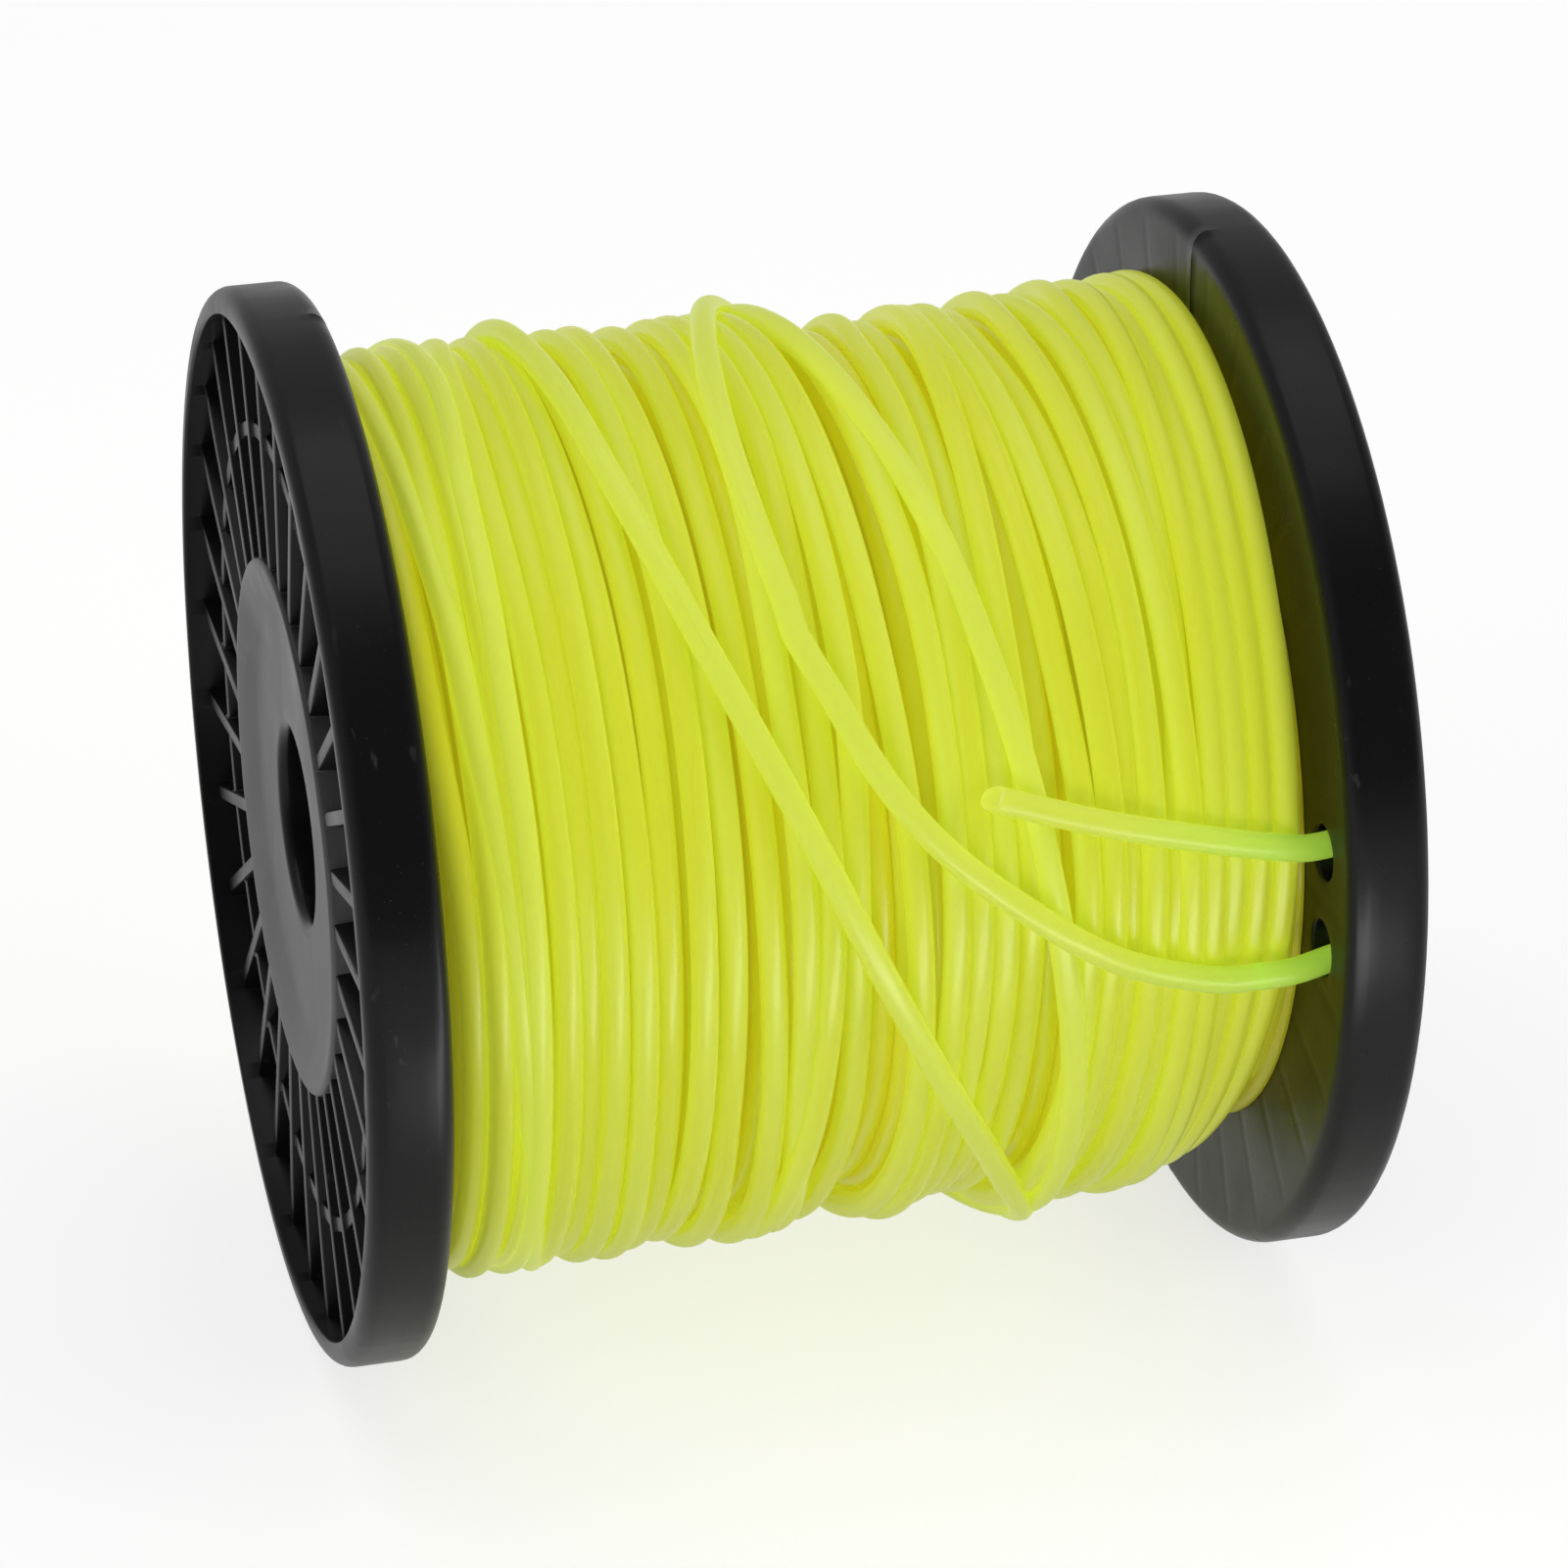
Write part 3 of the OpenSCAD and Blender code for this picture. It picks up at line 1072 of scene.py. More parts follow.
# The last turns lie on top and cross the layer: angle in degrees and place in
# mm.  Two swing in from the left end, one goes from the middle to the right, one
# from the left to the right, and the last run reaches the lower hole.
CROSSING_ROUTES = (
    (
        (150.0, -37.2), (135.0, -36.2), (125.0, -35.5), (118.0, -35.0),
        (112.0, -34.6), (106.0, -34.3), (100.0, -34.0), (94.0, -33.8),
        (86.0, -33.9), (76.0, -34.6), (68.0, -35.0), (54.0, -34.9),
        (42.0, -35.1), (22.0, -34.7), (10.0, -34.6), (-20.0, -34.3),
        (-45.0, -34.0),
    ),
    (
        (150.0, -42.4), (114.0, -41.9), (95.0, -41.4), (85.0, -41.1),
        (78.0, -40.6), (69.0, -40.0), (61.0, -39.5), (54.0, -39.0),
        (48.0, -38.6), (42.0, -38.4), (36.0, -38.2), (30.0, -37.7),
        (22.0, -36.9), (9.0, -36.4), (-6.0, -35.7), (-25.0, -34.5),
        (-45.0, -33.0),
    ),
    (
        (150.0, -2.4), (130.0, -0.3), (114.0, 1.3), (101.0, 2.2), (94.0, 3.1),
        (86.0, 4.2), (79.0, 5.3), (71.0, 6.7), (63.0, 8.4), (55.0, 9.8),
        (40.0, 12.1), (28.0, 14.1), (10.0, 16.5), (0.0, 17.8), (-10.0, 18.9),
        (-20.0, 19.7), (-45.0, 20.4),
    ),
    (
        (150.0, -25.0), (125.0, -24.5), (114.0, -24.4), (104.0, -24.1),
        (95.0, -23.5), (83.0, -22.5), (70.0, -21.2), (58.0, -18.9),
        (46.0, -16.0), (33.0, -11.8), (19.0, -6.8), (6.0, -2.1), (-9.0, 3.8),
        (-25.0, 10.1), (-42.0, 15.8), (-58.0, 20.4),
    ),
    (
        (165.0, 16.0), (145.0, 9.6), (130.0, 4.0), (121.0, 0.6), (114.0, -1.8),
        (106.0, -3.8), (97.0, -5.6), (85.0, -7.5), (71.0, -8.5), (55.0, -7.8),
        (44.0, -5.9), (35.0, -3.5), (28.5, -1.1), (22.0, 2.2), (15.3, 7.1),
        (9.0, 13.4), (4.5, 18.6), (0.8, 23.6), (-1.6, 28.6),
    ),
)
# Most that the middle of a laid turn, and of each crossing one, stands from the
# axis, in mm: line is soft enough to bed into the turns under it.
LAID_LIMIT = 46.15
CROSSING_LIMITS = (46.55, 45.6, 46.9, 47.85, 47.85)
# From this angle the last run crosses too fast to be laid turn by turn.
FREE_FROM = 45.0
# A place out of reach of every turn, in metres.
FAR = 9.0
# The line's end: out through the lower hole, over the saddle and back through
# the upper hole to the cut end.  Distance from the web's line side in mm,
# angle in degrees, and distance from the axis in mm.
END_ROUTE = (
    (-7, -3.3, 48.6), (-4.2, -3.3, 48.6), (-2.4, -3.3, 48.2),
    (-0.4, -3.3, 47.5), (1.4, -3.3, 46.9), (3.2, -3.3, 46.5),
    (4.8, -3, 46.3), (6, -1.8, 46.2), (6.7, 0.6, 46.1), (6.9, 4.3, 46.1),
    (6.7, 8, 46.1), (6, 10.4, 46.2), (4.8, 11.6, 46.3), (3.2, 11.9, 46.5),
    (1.4, 11.9, 46.9), (-0.4, 11.9, 47.5), (-2.4, 12.1, 48.2),
    (-4.6, 12.7, 48.8), (-9, 13.9, 49.3), (-15, 15.7, 49.6),
    (-21, 17.6, 49.8), (-26, 19.4, 50), (-31, 21.4, 50.2),
    (-34, 22.6, 50.4),
)


@dataclass
class Winding:
    """The line's turns: a full layer, a hand-laid one on it, and the last run.

    Every turn is worked out on the same angles, so a new turn's height comes
    from the turns that it lies on.

    Attributes:
        axis_z: Height of the spool's axis, in metres.
        gap_half: Half the space between the flanges, in metres.
        line_d: Thickness of the line.
        core_r: Distance from the axis at which the full layer starts.
        steps: Steps in one turn.
        inner_turns: Turns of the full layer.
        inner_sides: Sides of its rings.
        outer_sides: Sides of the outer line's rings.
        ahead: Steps that are laid before and after a turn to span hollows.
        bedding: Share of what stands over the limit that beds in.
        hollows: Where the turns lie low: place along the axis, half the
            length, angle in degrees, and depth.
        deep_r: Distances from the axis of a turn low in the pile, which gets the
            full painted shade, and of one on top of it, which gets none.
        deep_share: How much of the painted low-pile shade a low turn has.
        walled_x: Place along the axis from which the line is painted darker as in
            the flange's shade, and the length over which that painted shade grows.
        walled_r: Distance from the axis under which it is.
        pale_share: How milky the crossing turns are.
        pale_steps: Steps over which the line turns milky.
        inner_gap: Clearance of the full layer to the flanges.
        outer_gap: The same for the outer line.
        sway: How far the full layer's turns stray sideways.
        run_r: Distance from the axis at which the last run is measured.
        join_rise: Length before the join with the line's end at which the
            run starts to rise to it, and the length over which it does.
        run_start: Length over which the last run leaves the turns' height.
        run_steps: Steps of the last run.
        core_sides: Sides of the body of deeper turns.
        core_bore_r: Radius of its bore, just over the barrel.
        laid_x: Places of the turns laid so far, step by step.
        laid_r: Their distances from the axis.
        wound: Length of the outer line, once it is laid.
    """

    axis_z: float
    gap_half: float
    line_d: float = 2.7 * MM
    core_r: float = 41.25 * MM
    steps: int = 120
    inner_turns: int = 29
    inner_sides: int = 16
    outer_sides: int = 32
    ahead: int = 12
    bedding: float = 0.88
    hollows: tuple[tuple[float, float, float, float], ...] = (
        (16 * MM, 10 * MM, 120.0, 1.3 * MM),
        (43 * MM, 9 * MM, -60.0, 3.8 * MM),
        (12 * MM, 4.5 * MM, -60.0, 2.2 * MM),
        (-1 * MM, 5 * MM, -60.0, 1.3 * MM),
    )
    deep_r: Pair = (44.6 * MM, 47.0 * MM)
    deep_share: float = 0.4
    walled_x: Pair = (40 * MM, 2 * MM)
    walled_r: float = 46 * MM
    pale_share: float = 0.8
    pale_steps: int = 8
    inner_gap: float = 0.15 * MM
    outer_gap: float = 0.1 * MM
    sway: float = 0.8 * MM
    run_r: float = 48 * MM
    join_rise: Pair = (16 * MM, 12 * MM)
    run_start: float = 8 * MM
    run_steps: int = 60
    core_sides: int = 96
    core_bore_r: float = 26.2 * MM
    laid_x: list[np.ndarray] = field(default_factory=list)
    laid_r: list[np.ndarray] = field(default_factory=list)
    wound: float = 0.0

    @property
    def line_r(self) -> float:
        """Radius of the line."""
        return self.line_d / 2

    def angles(self, turns: float) -> np.ndarray:
        """Angles of the steps of some turns, from the back and falling.

        Args:
            turns: Number of turns.

        Returns:
            The angles, in degrees.
        """
        return 180 - np.arange(round(turns * self.steps)) * 360 / self.steps

    def sunk(self, x: np.ndarray, step: np.ndarray) -> np.ndarray:
        """How much lower than elsewhere the turns lie.

        Args:
            x: Places along the axis.
            step: Step number of each place within its turn.

        Returns:
            The drop at each place.
        """
        drop = np.zeros(len(x))
        for place, half, angle, depth in self.hollows:
            near = np.cos(np.radians(180 - 360 * step / self.steps - angle))
            across = np.exp(-(((x - place) / half) ** 4))
            drop += depth * across * np.clip(near, 0, 1) ** 2
        return drop

    def resting_height(self, x: np.ndarray, step: np.ndarray) -> np.ndarray:
        """Least distance from the axis at which the line clears what is laid.

        Args:
            x: Places along the axis.
            step: Step number of each place within its turn.

        Returns:
            The height of the line's middle at each place.
        """
        height = self.core_r + self.line_r - self.sunk(x, step)
        for turn_x, turn_r in zip(self.laid_x, self.laid_r):
            apart = (x - turn_x[step]) / self.line_d
            reach = np.sqrt(np.clip(1 - apart**2, 0, None)) * self.line_d
            height = np.where(np.abs(apart) < 1, np.maximum(height, turn_r[step] + reach), height)
        return height

    def pull_tight(self, height: np.ndarray, fixed: int, rounds: int = 160) -> np.ndarray:
        """Lets the line span the hollows between the places where it rests.

        Args:
            height: Resting height at each step.
            fixed: Number of steps at the start that stay as they are.
            rounds: Number of passes.

        Returns:
            The height of the taut line.
        """
        span = math.cos(2 * math.pi / self.steps)
        taut = height.copy()
        for _ in range(rounds):
            chord = 2 * taut[:-2] * taut[2:] * span / (taut[:-2] + taut[2:])
            middle = np.maximum(height[1:-1], chord)
            if fixed > 1:
                middle[: fixed - 1] = taut[1:fixed]
            taut[1:-1] = middle
        return taut

    def lay(self, x: np.ndarray, limit: np.ndarray) -> np.ndarray:
        """Lays a run of turns on what is there, one turn after the other.

        Args:
            x: Places along the axis, self.steps for each turn.
            limit: Height above which the line beds into what is under it.

        Returns:
            The height of the line at each step.
        """
        done = np.zeros(len(x))
        for start in range(0, len(x), self.steps):
            back = min(start, self.ahead)
            end = min(start + self.steps + self.ahead, len(x))
            rows = np.arange(start - back, end)
            height = self.resting_height(x[rows], rows % self.steps)
            height[:back] = done[start - back:start]
            taut = self.pull_tight(height, back)
            top = limit[rows] - self.sunk(x[rows], rows % self.steps)
            over = np.maximum(taut - top, 0)
            taut[back:] -= self.bedding * over[back:]
            stop = min(start + self.steps, len(x))
            done[start:stop] = taut[back:back + stop - start]
            turn_x, turn_r = np.full(self.steps, FAR), np.zeros(self.steps)
            turn_x[: stop - start], turn_r[: stop - start] = x[start:stop], done[start:stop]
            self.laid_x.append(turn_x)
            self.laid_r.append(turn_r)
        return done

    def inner_path(self) -> LinePath:
        """Lays the full layer under the outer one, from the left to the right.

        Returns:
            Its path.
        """
        angle = self.angles(self.inner_turns)
        last = self.gap_half - self.line_r - self.inner_gap
        share = np.arange(len(angle)) / (len(angle) - 1)
        rad = np.radians(angle)
        x = -last + 2 * last * share
        x = x + self.sway * np.sin(rad + 37 * share) * np.sin(23 * share)
        x = np.clip(x, -last, last)
        radius = self.lay(x, np.full(len(x), FAR))
        return LinePath(x, rad, radius)

    def outer_path(self) -> LinePath:
        """Lays the hand-laid layer, the turns that cross it and the last run.

        Returns:
            The path of all of it.
        """
        routes = [
            [(HELD_FROM, places[0]), *zip(STATION_ANGLES, places)] for places in LAID_TURNS
        ]
        routes += [list(route) for route in CROSSING_ROUTES]
        routes[-1] = [k for k in routes[-1] if k[0] >= FREE_FROM - 2]
        sweep = [360 * i + 180 - a for i, route in enumerate(routes) for a, _ in route]
        places = [x * MM for route in routes for _, x in route]
        turns = len(routes) - 1
        count = turns * self.steps + round((180 - FREE_FROM) / 360 * self.steps)
        at = np.arange(count) * 360 / self.steps
        x = hermite(np.array([0.0, *sweep]), np.array([places[0], *places]), at, steady=True)
        x = self.smooth(x, 6)
        limit = self.gap_half - self.line_r - self.outer_gap
        x = np.clip(x, -limit, limit)
        highest = np.array([LAID_LIMIT] * len(LAID_TURNS) + list(CROSSING_LIMITS)) * MM
        radius = self.lay(x, np.interp(at, 360 * np.arange(len(highest)) + 90, highest))
        angle = 180 - at
        tail_x, tail_angle, tail_r = self.last_run(x[-1], FREE_FROM, radius)
        return LinePath(
            np.concatenate([x, tail_x]),
            np.radians(np.concatenate([angle, tail_angle - 360 * turns])),
            np.concatenate([self.smooth(radius, 12), tail_r]),
        )

    def last_run(
        self, x: float, angle: float, radius: np.ndarray
    ) -> tuple[np.ndarray, np.ndarray, np.ndarray]:
        """The run across the layer to the join with the line's end.

        Args:
            x: Place of the last step of the turns.
            angle: Its angle, in degrees.
            radius: Heights of the turns.

        Returns:
            Places, angles in degrees and heights of the run.
        """
        join = END_ROUTE[0]
        join_x = self.gap_half + join[0] * MM
        rest = [(place * MM, a) for a, place in CROSSING_ROUTES[-1] if a < angle - 2]
        route = [(x, angle), *rest]
        route += [(join_x - self.line_d, join[1]), (join_x, join[1])]
        at = np.array(route)
        flat = np.stack([at[:, 0], np.radians(at[:, 1]) * self.run_r], axis=1)
        length = np.concatenate([[0], np.cumsum(np.linalg.norm(np.diff(flat, axis=0), axis=1))])
        fine = np.linspace(0, length[-1], self.run_steps)[1:]
        run_x, run_a = hermite(length, at[:, 0], fine), hermite(length, at[:, 1], fine)
        step = np.round((180 - run_a) / 360 * self.steps).astype(int) % self.steps
        height = self.resting_height(run_x, step)
        reach = 3
        padded = np.concatenate([[radius[-1]] * reach, height, [height[-1]] * reach])
        height = np.max([padded[i:i + len(height)] for i in range(2 * reach + 1)], axis=0)
        height = self.smooth(height, 10)
        before, over = self.join_rise
        near = np.clip((fine - fine[-1] + before) / over, 0, 1)
        near = near * near * (3 - 2 * near)
        height = height * (1 - near) + join[2] * MM * near
        start = np.clip(1 - fine / self.run_start, 0, 1)
        height = height * (1 - start) + radius[-1] * start
        return run_x, run_a, height

    def shut_in(self, path: LinePath, sides: int) -> np.ndarray:
        """How much of its outlook the turns around take from each point, for painted light.

        Turns run side by side, so one look along each direction in the
        section at a point's own angle tells it.

        Args:
            path: Path of the line whose rings are looked at.
            sides: Sides of a ring.

        Returns:
            0 for an open point and 1 for a shut one, ring by ring.
        """
        step = np.round((180 - np.degrees(path.angle)) / 360 * self.steps).astype(int) % self.steps
        turn = np.linspace(0, 2 * math.pi, sides, endpoint=False)
        looks = np.radians(np.arange(-80, 81, 16.0))
        weight = np.cos(looks) / np.cos(looks).sum()
        shut = np.zeros((len(path.x), sides))
        for place in range(self.steps):
            rows = np.nonzero(step == place)[0]
            laid_x = np.array([t[place] for t in self.laid_x])
            laid_r = np.array([t[place] for t in self.laid_r])
            from_x = path.x[rows][:, None] - np.sin(turn) * self.line_r * 1.02
            from_r = path.radius[rows][:, None] + np.cos(turn) * self.line_r * 1.02
            for look, share in zip(looks, weight):
                go_x, go_r = -np.sin(turn + look), np.cos(turn + look)
                gap_x = laid_x[:, None, None] - from_x
                gap_r = laid_r[:, None, None] - from_r
                ahead = gap_x * go_x + gap_r * go_r
                aside = np.abs(gap_x * go_r - gap_r * go_x)
                hit = ((ahead > 0) & (aside < self.line_r)).any(axis=0)
                wall = (self.gap_half - np.sign(go_x) * from_x) / np.maximum(np.abs(go_x), 1e-6)
                low = from_r + wall * go_r < 60 * MM
                shut[rows] += share * np.where(hit | (go_r < 0), 1.0, np.where(low, 0.6, 0.0))
        for side in range(sides):
            shut[:, side] = self.smooth(shut[:, side], 10)
        for _ in range(2):
            shut = (np.roll(shut, 1, axis=1) + 2 * shut + np.roll(shut, -1, axis=1)) / 4
        return shut.ravel()

    @staticmethod
    def smooth(values: np.ndarray, rounds: int) -> np.ndarray:
        """Evens out a row of values, and keeps its ends.

        Args:
            values: The values.
            rounds: Number of passes.

        Returns:
            The evened values.
        """
        out = values.copy()
        for _ in range(rounds):
            out[1:-1] = (out[:-2] + 2 * out[1:-1] + out[2:]) / 4
        return out

    def place(self, plastic: bpy.types.Material) -> None:
        """Builds and dresses both layers in place of their CAD nodes.

        Args:
            plastic: The line's finish.
        """
        inner = self.inner_path()
        outer = self.outer_path()
        made = LineTube(self.line_r, self.inner_sides, self.axis_z).build("inner_turns", inner)
        # Painted shade over the whole full layer, and painted light by how shut in each point is.
        paint_line(made, 1.0, 0.0, 0.0, self.shut_in(inner, self.inner_sides))
        self.settle(made, plastic, "inner_layers")
        made = LineTube(self.line_r, self.outer_sides, self.axis_z).build("outer_turns", outer)
        steps = np.diff(outer.points(self.axis_z), axis=0)
        self.wound = float(np.linalg.norm(steps, axis=1).sum())
        shares = (np.repeat(share, self.outer_sides) for share in self.outer_shares(outer))
        paint_line(made, *shares, self.shut_in(outer, self.outer_sides))
        self.settle(made, plastic, "outer_layer")
        self.core(plastic)

    def outer_shares(self, path: LinePath) -> tuple[np.ndarray, np.ndarray, np.ndarray]:
        """How much painted shade, painted green of a dark backing and paleness the outer line has.

        Args:
            path: The outer line's path.

        Returns:
            The three shares at each step.
        """
        low, high = self.deep_r
        depth = 1 - np.clip((path.radius - low) / (high - low), 0, 1)
        from_x, fade = self.walled_x
        # Painted shade: turns by the flanges, under walled_r, take the low-pile colour.
        painted_flange_shade = np.clip((np.abs(path.x) - from_x) / fade, 0, 1)
        depth = np.maximum(self.deep_share * depth, painted_flange_shade * (path.radius < self.walled_r))
        number = np.arange(len(path.x))
        last = number > len(path.x) - self.run_steps
        crossing = number - len(LAID_TURNS) * self.steps
        pale = np.clip(crossing / self.pale_steps, 0, self.pale_share)
        return self.smooth(depth, 8), last * painted_backing_share(path.x, self.gap_half), pale

    def core(self, plastic: bpy.types.Material) -> None:
        """Makes the deeper turns as one ridged body.

        Args:
            plastic: The line's finish.
        """
        pitch = 2 * self.gap_half / (self.inner_turns + 1)
        half = self.gap_half - 0.1 * MM
        x = np.linspace(-half, half, 8 * self.inner_turns + 1)
        ridge = self.core_r - 0.1 * MM - 0.5 * MM * (0.5 - 0.5 * np.cos(2 * math.pi * x / pitch))
        angle = np.linspace(0, 2 * math.pi, self.core_sides, endpoint=False)
        section = [*zip(x, ridge), (half, self.core_bore_r), (-half, self.core_bore_r)]
        rows = np.array([around_axis(px, angle, pr, self.axis_z) for px, pr in section])
        made = mesh_object("deep_turns", rows, ring_faces(len(rows), self.core_sides, True))
        # Painted shade and full painted light all over the deeper turns.
        paint_line(made, 1.0, 0.0, 0.0, 1.0)
        self.settle(made, plastic, "inner_layers")

    def settle(self, piece: bpy.types.Object, plastic: bpy.types.Material, node: str) -> None:
        """Dresses a piece of line and puts it in place of a node.

        Args:
            piece: The piece.
            plastic: The line's finish.
            node: The CAD node it stands for.
        """
        dress(piece, plastic)
        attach(piece, BODY)
        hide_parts(node)
        LOG.info("%s: %d faces", piece.name, len(piece.data.polygons))


@dataclass
class LineEnd:
    """The line's end, tucked through the flange's two holes.

    Attributes:
        axis_z: Height of the spool's axis, in metres.
        gap_half: Half the space between the flanges, in metres.
        pale_share: How milky the end is.
        cut_share: Size of the cut face to the line's.
        slant: How far the cut face leans, to each side and up.
    """

    axis_z: float
    gap_half: float
    line_d: float = 2.7 * MM
    sides: int = 32
    rings: int = 170
    pale_share: float = 0.8
    cut_share: float = 0.86
    slant: Triple = (0.0, 0.35, -0.35)

    def path(self) -> LinePath:
        """Leads the end through the points of its route.

        Returns:
            Its path.
        """
        route = np.array(END_ROUTE) * np.array([MM, math.pi / 180, MM])
        route[:, 0] += self.gap_half
        points = around_axis(route[:, 0], route[:, 1], route[:, 2], self.axis_z)
        length = np.concatenate([[0], np.cumsum(np.linalg.norm(np.diff(points, axis=0), axis=1))])
        fine = np.linspace(0, length[-1], self.rings)
        return LinePath(*(hermite(length, route[:, i], fine) for i in range(3)))

    def place(self, plastic: bpy.types.Material, winding: Winding) -> None:
        """Args:
            plastic: The line's finish.
            winding: The turns that the end lies over.
        """
        path = self.path()
        tube = LineTube(self.line_d / 2, self.sides, self.axis_z)
        made = tube.build("tucked_end", path, winding.wound)
        points = path.points(self.axis_z)
        length = float(np.linalg.norm(np.diff(points, axis=0), axis=1).sum())
        self.trim(made, points)
        # Painted green of a dark backing near the flange with the holes, and painted light.
        free = np.repeat(painted_backing_share(path.x, self.gap_half), self.sides)
        paint_line(made, 0.0, free, self.pale_share, winding.shut_in(path, self.sides))
        dress(made, plastic)
        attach(made, BODY)
        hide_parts("line_end")
        LOG.info("%s: %.1f mm long", made.name, length / MM)

    def trim(self, piece: bpy.types.Object, points: np.ndarray) -> None:
        """Cuts the free end a little aslant and breaks its sharp edge.

        Args:
            piece: The tube.
            points: The tube's path.
        """
        middle, along = points[-1], points[-1] - points[-2]
        along = along / np.linalg.norm(along)
        last = piece.data.vertices[-self.sides:]
        for corner in last:
            out = corner.co - Vector(middle)
            lean = Vector(along) * out.dot(Vector(self.slant))
            corner.co = Vector(middle) + out * self.cut_share + lean


# ---- studio --------------------------------------------------------------


@dataclass(frozen=True)
class Softbox:
    """One square soft light that faces the spool.

    Attributes:
        name: Name of the light.
        place: Where it hangs, in metres.
        size: Its width and height, in metres.
        watts: Its power.
        reach: What it is for.
        roll: Turn about the line to the spool, in degrees.
    """

    name: str
    place: Triple
    size: Pair
    watts: float
    reach: Reach
    roll: float = 0.0

    def hang(self, axis_z: float) -> None:
        """Adds the light.

        Args:
            axis_z: Height of the spool's axis, in metres.
        """
        data = bpy.data.lights.new(self.name, "AREA")
        data.shape, data.size, data.size_y = "RECTANGLE", *self.size
        data.energy = self.watts
        made = bpy.data.objects.new(self.name, data)
        made.visible_camera = False
        made.visible_glossy = self.reach is not Reach.LIGHT
        made.visible_diffuse = self.reach is not Reach.MIRROR
        made.location = self.place
        aim = Vector((0, 0, axis_z)) - Vector(self.place)
        turn = aim.to_track_quat("-Z", "Y") @ Quaternion((0, 0, 1), math.radians(self.roll))
        made.rotation_euler = turn.to_euler()
        bpy.context.scene.collection.objects.link(made)


SOFTBOXES = (
    Softbox("top_light", (0.0, 0.1, 1.5), (1.6, 1.2), 4.2, Reach.BOTH),
    Softbox("left_light", (-1.15, -0.85, 0.5), (1.0, 1.1), 6.3, Reach.LIGHT),
    Softbox("right_light", (1.2, -0.65, 0.5), (1.0, 1.1), 6.3, Reach.LIGHT),
    Softbox("front_fill", (0.0, -0.9, 0.06), (1.0, 0.1), 1.7, Reach.LIGHT),
    Softbox("front_card", (0.014, -0.105, 0.029), (0.095, 0.024), 0.034, Reach.MIRROR, 14.5),
)


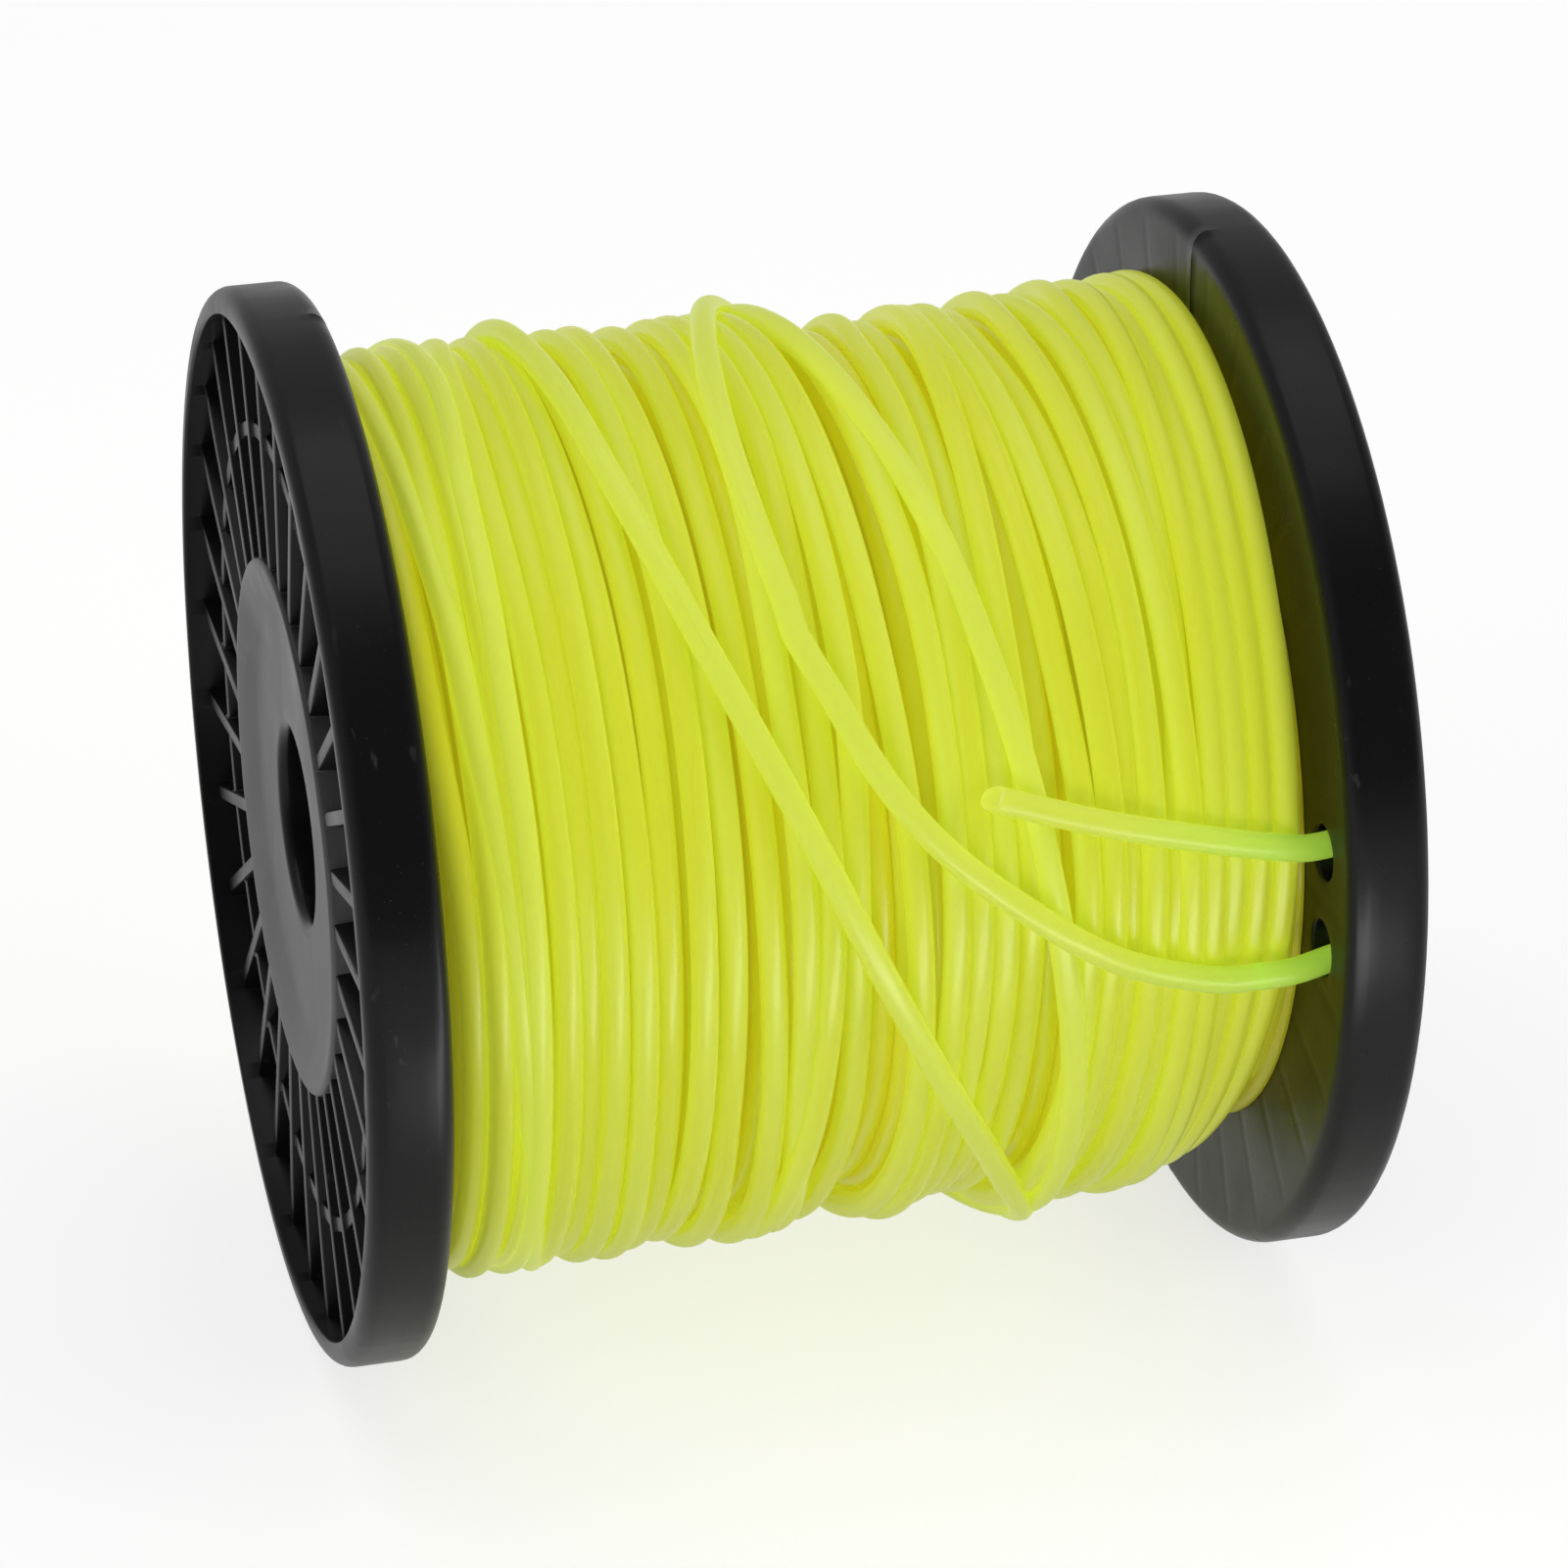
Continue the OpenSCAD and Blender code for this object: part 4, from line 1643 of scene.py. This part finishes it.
@dataclass
class Studio:
    """White floor, soft light and the camera.

    The camera's place comes from how far it stands from the spool's middle,
    and how far it is moved aside.

    Attributes:
        axis_z: Height of the spool's axis, in metres.
        azimuth: How far left of the front the camera stands, in degrees.
        elevation: How high it stands, in degrees.
        distance: How far it stands from the spool's middle.
        aside: How far it is moved to its right.
        raised: How far it is moved up.
        lens: Its focal length, in millimetres.
        sensor: Width of its sensor, in millimetres.
        dim_towards: Direction in which the room is dim.
        dim_span: Likeness to that direction at which the room starts to dim,
            and at which it is dimmest.
        room_level: Brightness of the room there.
        floor_half: Half the floor's length, in metres.
    """

    axis_z: float
    azimuth: float = 14.114
    elevation: float = 27.812
    distance: float = 0.62483
    aside: float = 1.30 * MM
    raised: float = -1.39 * MM
    lens: float = 138.98
    sensor: float = 36.0
    dim_towards: Triple = (0.2, -0.93, 0.3)
    dim_span: Pair = (0.0, 0.75)
    room_level: Pair = (0.42, 0.10)
    floor_half: float = 6.0

    def camera(self) -> None:
        """Makes the camera and sets it as the scene's."""
        az, el = math.radians(self.azimuth), math.radians(self.elevation)
        back = Vector(
            (-math.sin(az) * math.cos(el), -math.cos(az) * math.cos(el), math.sin(el))
        )
        right = (-back).cross(Vector((0, 0, 1))).normalized()
        up = right.cross(-back).normalized()
        data = bpy.data.cameras.new("studio_camera")
        data.lens, data.sensor_width = self.lens, self.sensor
        data.clip_start, data.clip_end = 0.01, 50.0
        made = bpy.data.objects.new("studio_camera", data)
        place = Vector((0, 0, self.axis_z)) + back * self.distance
        place += right * self.aside + up * self.raised
        turn = Matrix((right, up, back)).transposed().to_4x4()
        made.matrix_world = Matrix.Translation(place) @ turn
        bpy.context.scene.collection.objects.link(made)
        bpy.context.scene.camera = made

    def surround(self) -> bpy.types.World:
        """Makes the room: bright above and behind, dim in front.

        Returns:
            The world.
        """
        world = bpy.data.worlds.new("studio")
        world.use_nodes = True
        tree = world.node_tree
        tree.nodes.clear()
        towards = tree.nodes.new("ShaderNodeTexCoord")
        facing = tree.nodes.new("ShaderNodeVectorMath")
        facing.operation = "DOT_PRODUCT"
        facing.inputs[1].default_value = self.dim_towards
        level = tree.nodes.new("ShaderNodeMapRange")
        level.interpolation_type = "SMOOTHSTEP"
        sockets = ("From Min", "From Max", "To Min", "To Max")
        for name, value in zip(sockets, (*self.dim_span, *self.room_level)):
            level.inputs[name].default_value = value
        back = tree.nodes.new("ShaderNodeBackground")
        back.inputs["Color"].default_value = (1.0, 1.0, 1.0, 1.0)
        output = tree.nodes.new("ShaderNodeOutputWorld")
        tree.links.new(towards.outputs["Generated"], facing.inputs[0])
        tree.links.new(facing.outputs["Value"], level.inputs["Value"])
        tree.links.new(level.outputs["Result"], back.inputs["Strength"])
        tree.links.new(back.outputs["Background"], output.inputs["Surface"])
        return world

    def build(self) -> None:
        """Lays the floor and sets the lights and the world."""
        half = self.floor_half
        corners = np.array([[-half, -half, 0], [half, -half, 0], [half, half, 0], [-half, half, 0]])
        floor = mesh_object("floor", corners, [(0, 1, 2, 3)])
        dress(floor, FloorPaper().material())
        for softbox in SOFTBOXES:
            softbox.hang(self.axis_z)
        bpy.context.scene.world = self.surround()
        bpy.context.scene.view_settings.view_transform = "Standard"
        LOG.info("studio: floor and soft lights")


# ---- reel ----------------------------------------------------------------


# Angles of one rib of each flange, and of the holes for the line's end, in
# degrees.
LEFT_RIB = 28.9
RIGHT_RIB = 4.3
HOLE_ANGLES = (10.6, -2.0)


@dataclass
class StringReel:
    """The whole reel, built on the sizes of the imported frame.

    Attributes:
        nodes: The CAD nodes by name.
    """

    nodes: dict[str, bpy.types.Object]

    def build(self) -> None:
        """Builds and dresses every piece."""
        left_low, left_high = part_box("left_flange")
        right_low, right_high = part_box("right_flange")
        outer_r = (left_high.z - left_low.z) / 2
        axis_z = (left_high.z + left_low.z) / 2
        rim_w = left_high.x - left_low.x
        gap_half = right_low.x
        clean = SpoolPlastic("spool_plastic").material()
        # The hub: real scuffs plus a painted sheen, from a light scuff colour, more scuffs and a
        # face lighter towards the bottom.
        worn_and_sheen = SpoolPlastic(
            "worn_hub_painted_sheen",
            colour=(0.016, 0.016, 0.0175),
            scuff_and_sheen_colour=(0.17, 0.17, 0.177),
            rough=(0.24, 0.4),
            scuff_level=0.62,
            specular=0.45,
            grain_depth=0.00003,
            painted_sheen_from=(0.05, 0.083),
        ).material()
        line = LinePlastic("line_nylon").material()
        left = Flange(Side.LEFT, axis_z, left_low.x, outer_r, LEFT_RIB, rim_w)
        right = Flange(Side.RIGHT, axis_z, right_high.x, outer_r, RIGHT_RIB, rim_w)
        right.hole_angles = HOLE_ANGLES
        for flange in (left, right):
            flange.place(clean, worn_and_sheen)
        winding = Winding(axis_z, gap_half)
        winding.place(line)
        LineEnd(axis_z, gap_half).place(line, winding)
        for name in ("barrel", "spindle_sleeve"):
            dress(self.nodes[name], clean)
            LOG.info("%s: kept, with the spool's finish", name)
        Studio(axis_z).build()


def main() -> None:
    """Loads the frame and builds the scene."""
    logging.basicConfig(level=logging.INFO, format="%(name)s: %(message)s")
    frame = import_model()
    low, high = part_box("left_flange")
    Studio((low.z + high.z) / 2).camera()
    StringReel(frame["nodes"]).build()


if __name__ == "__main__":
    main()
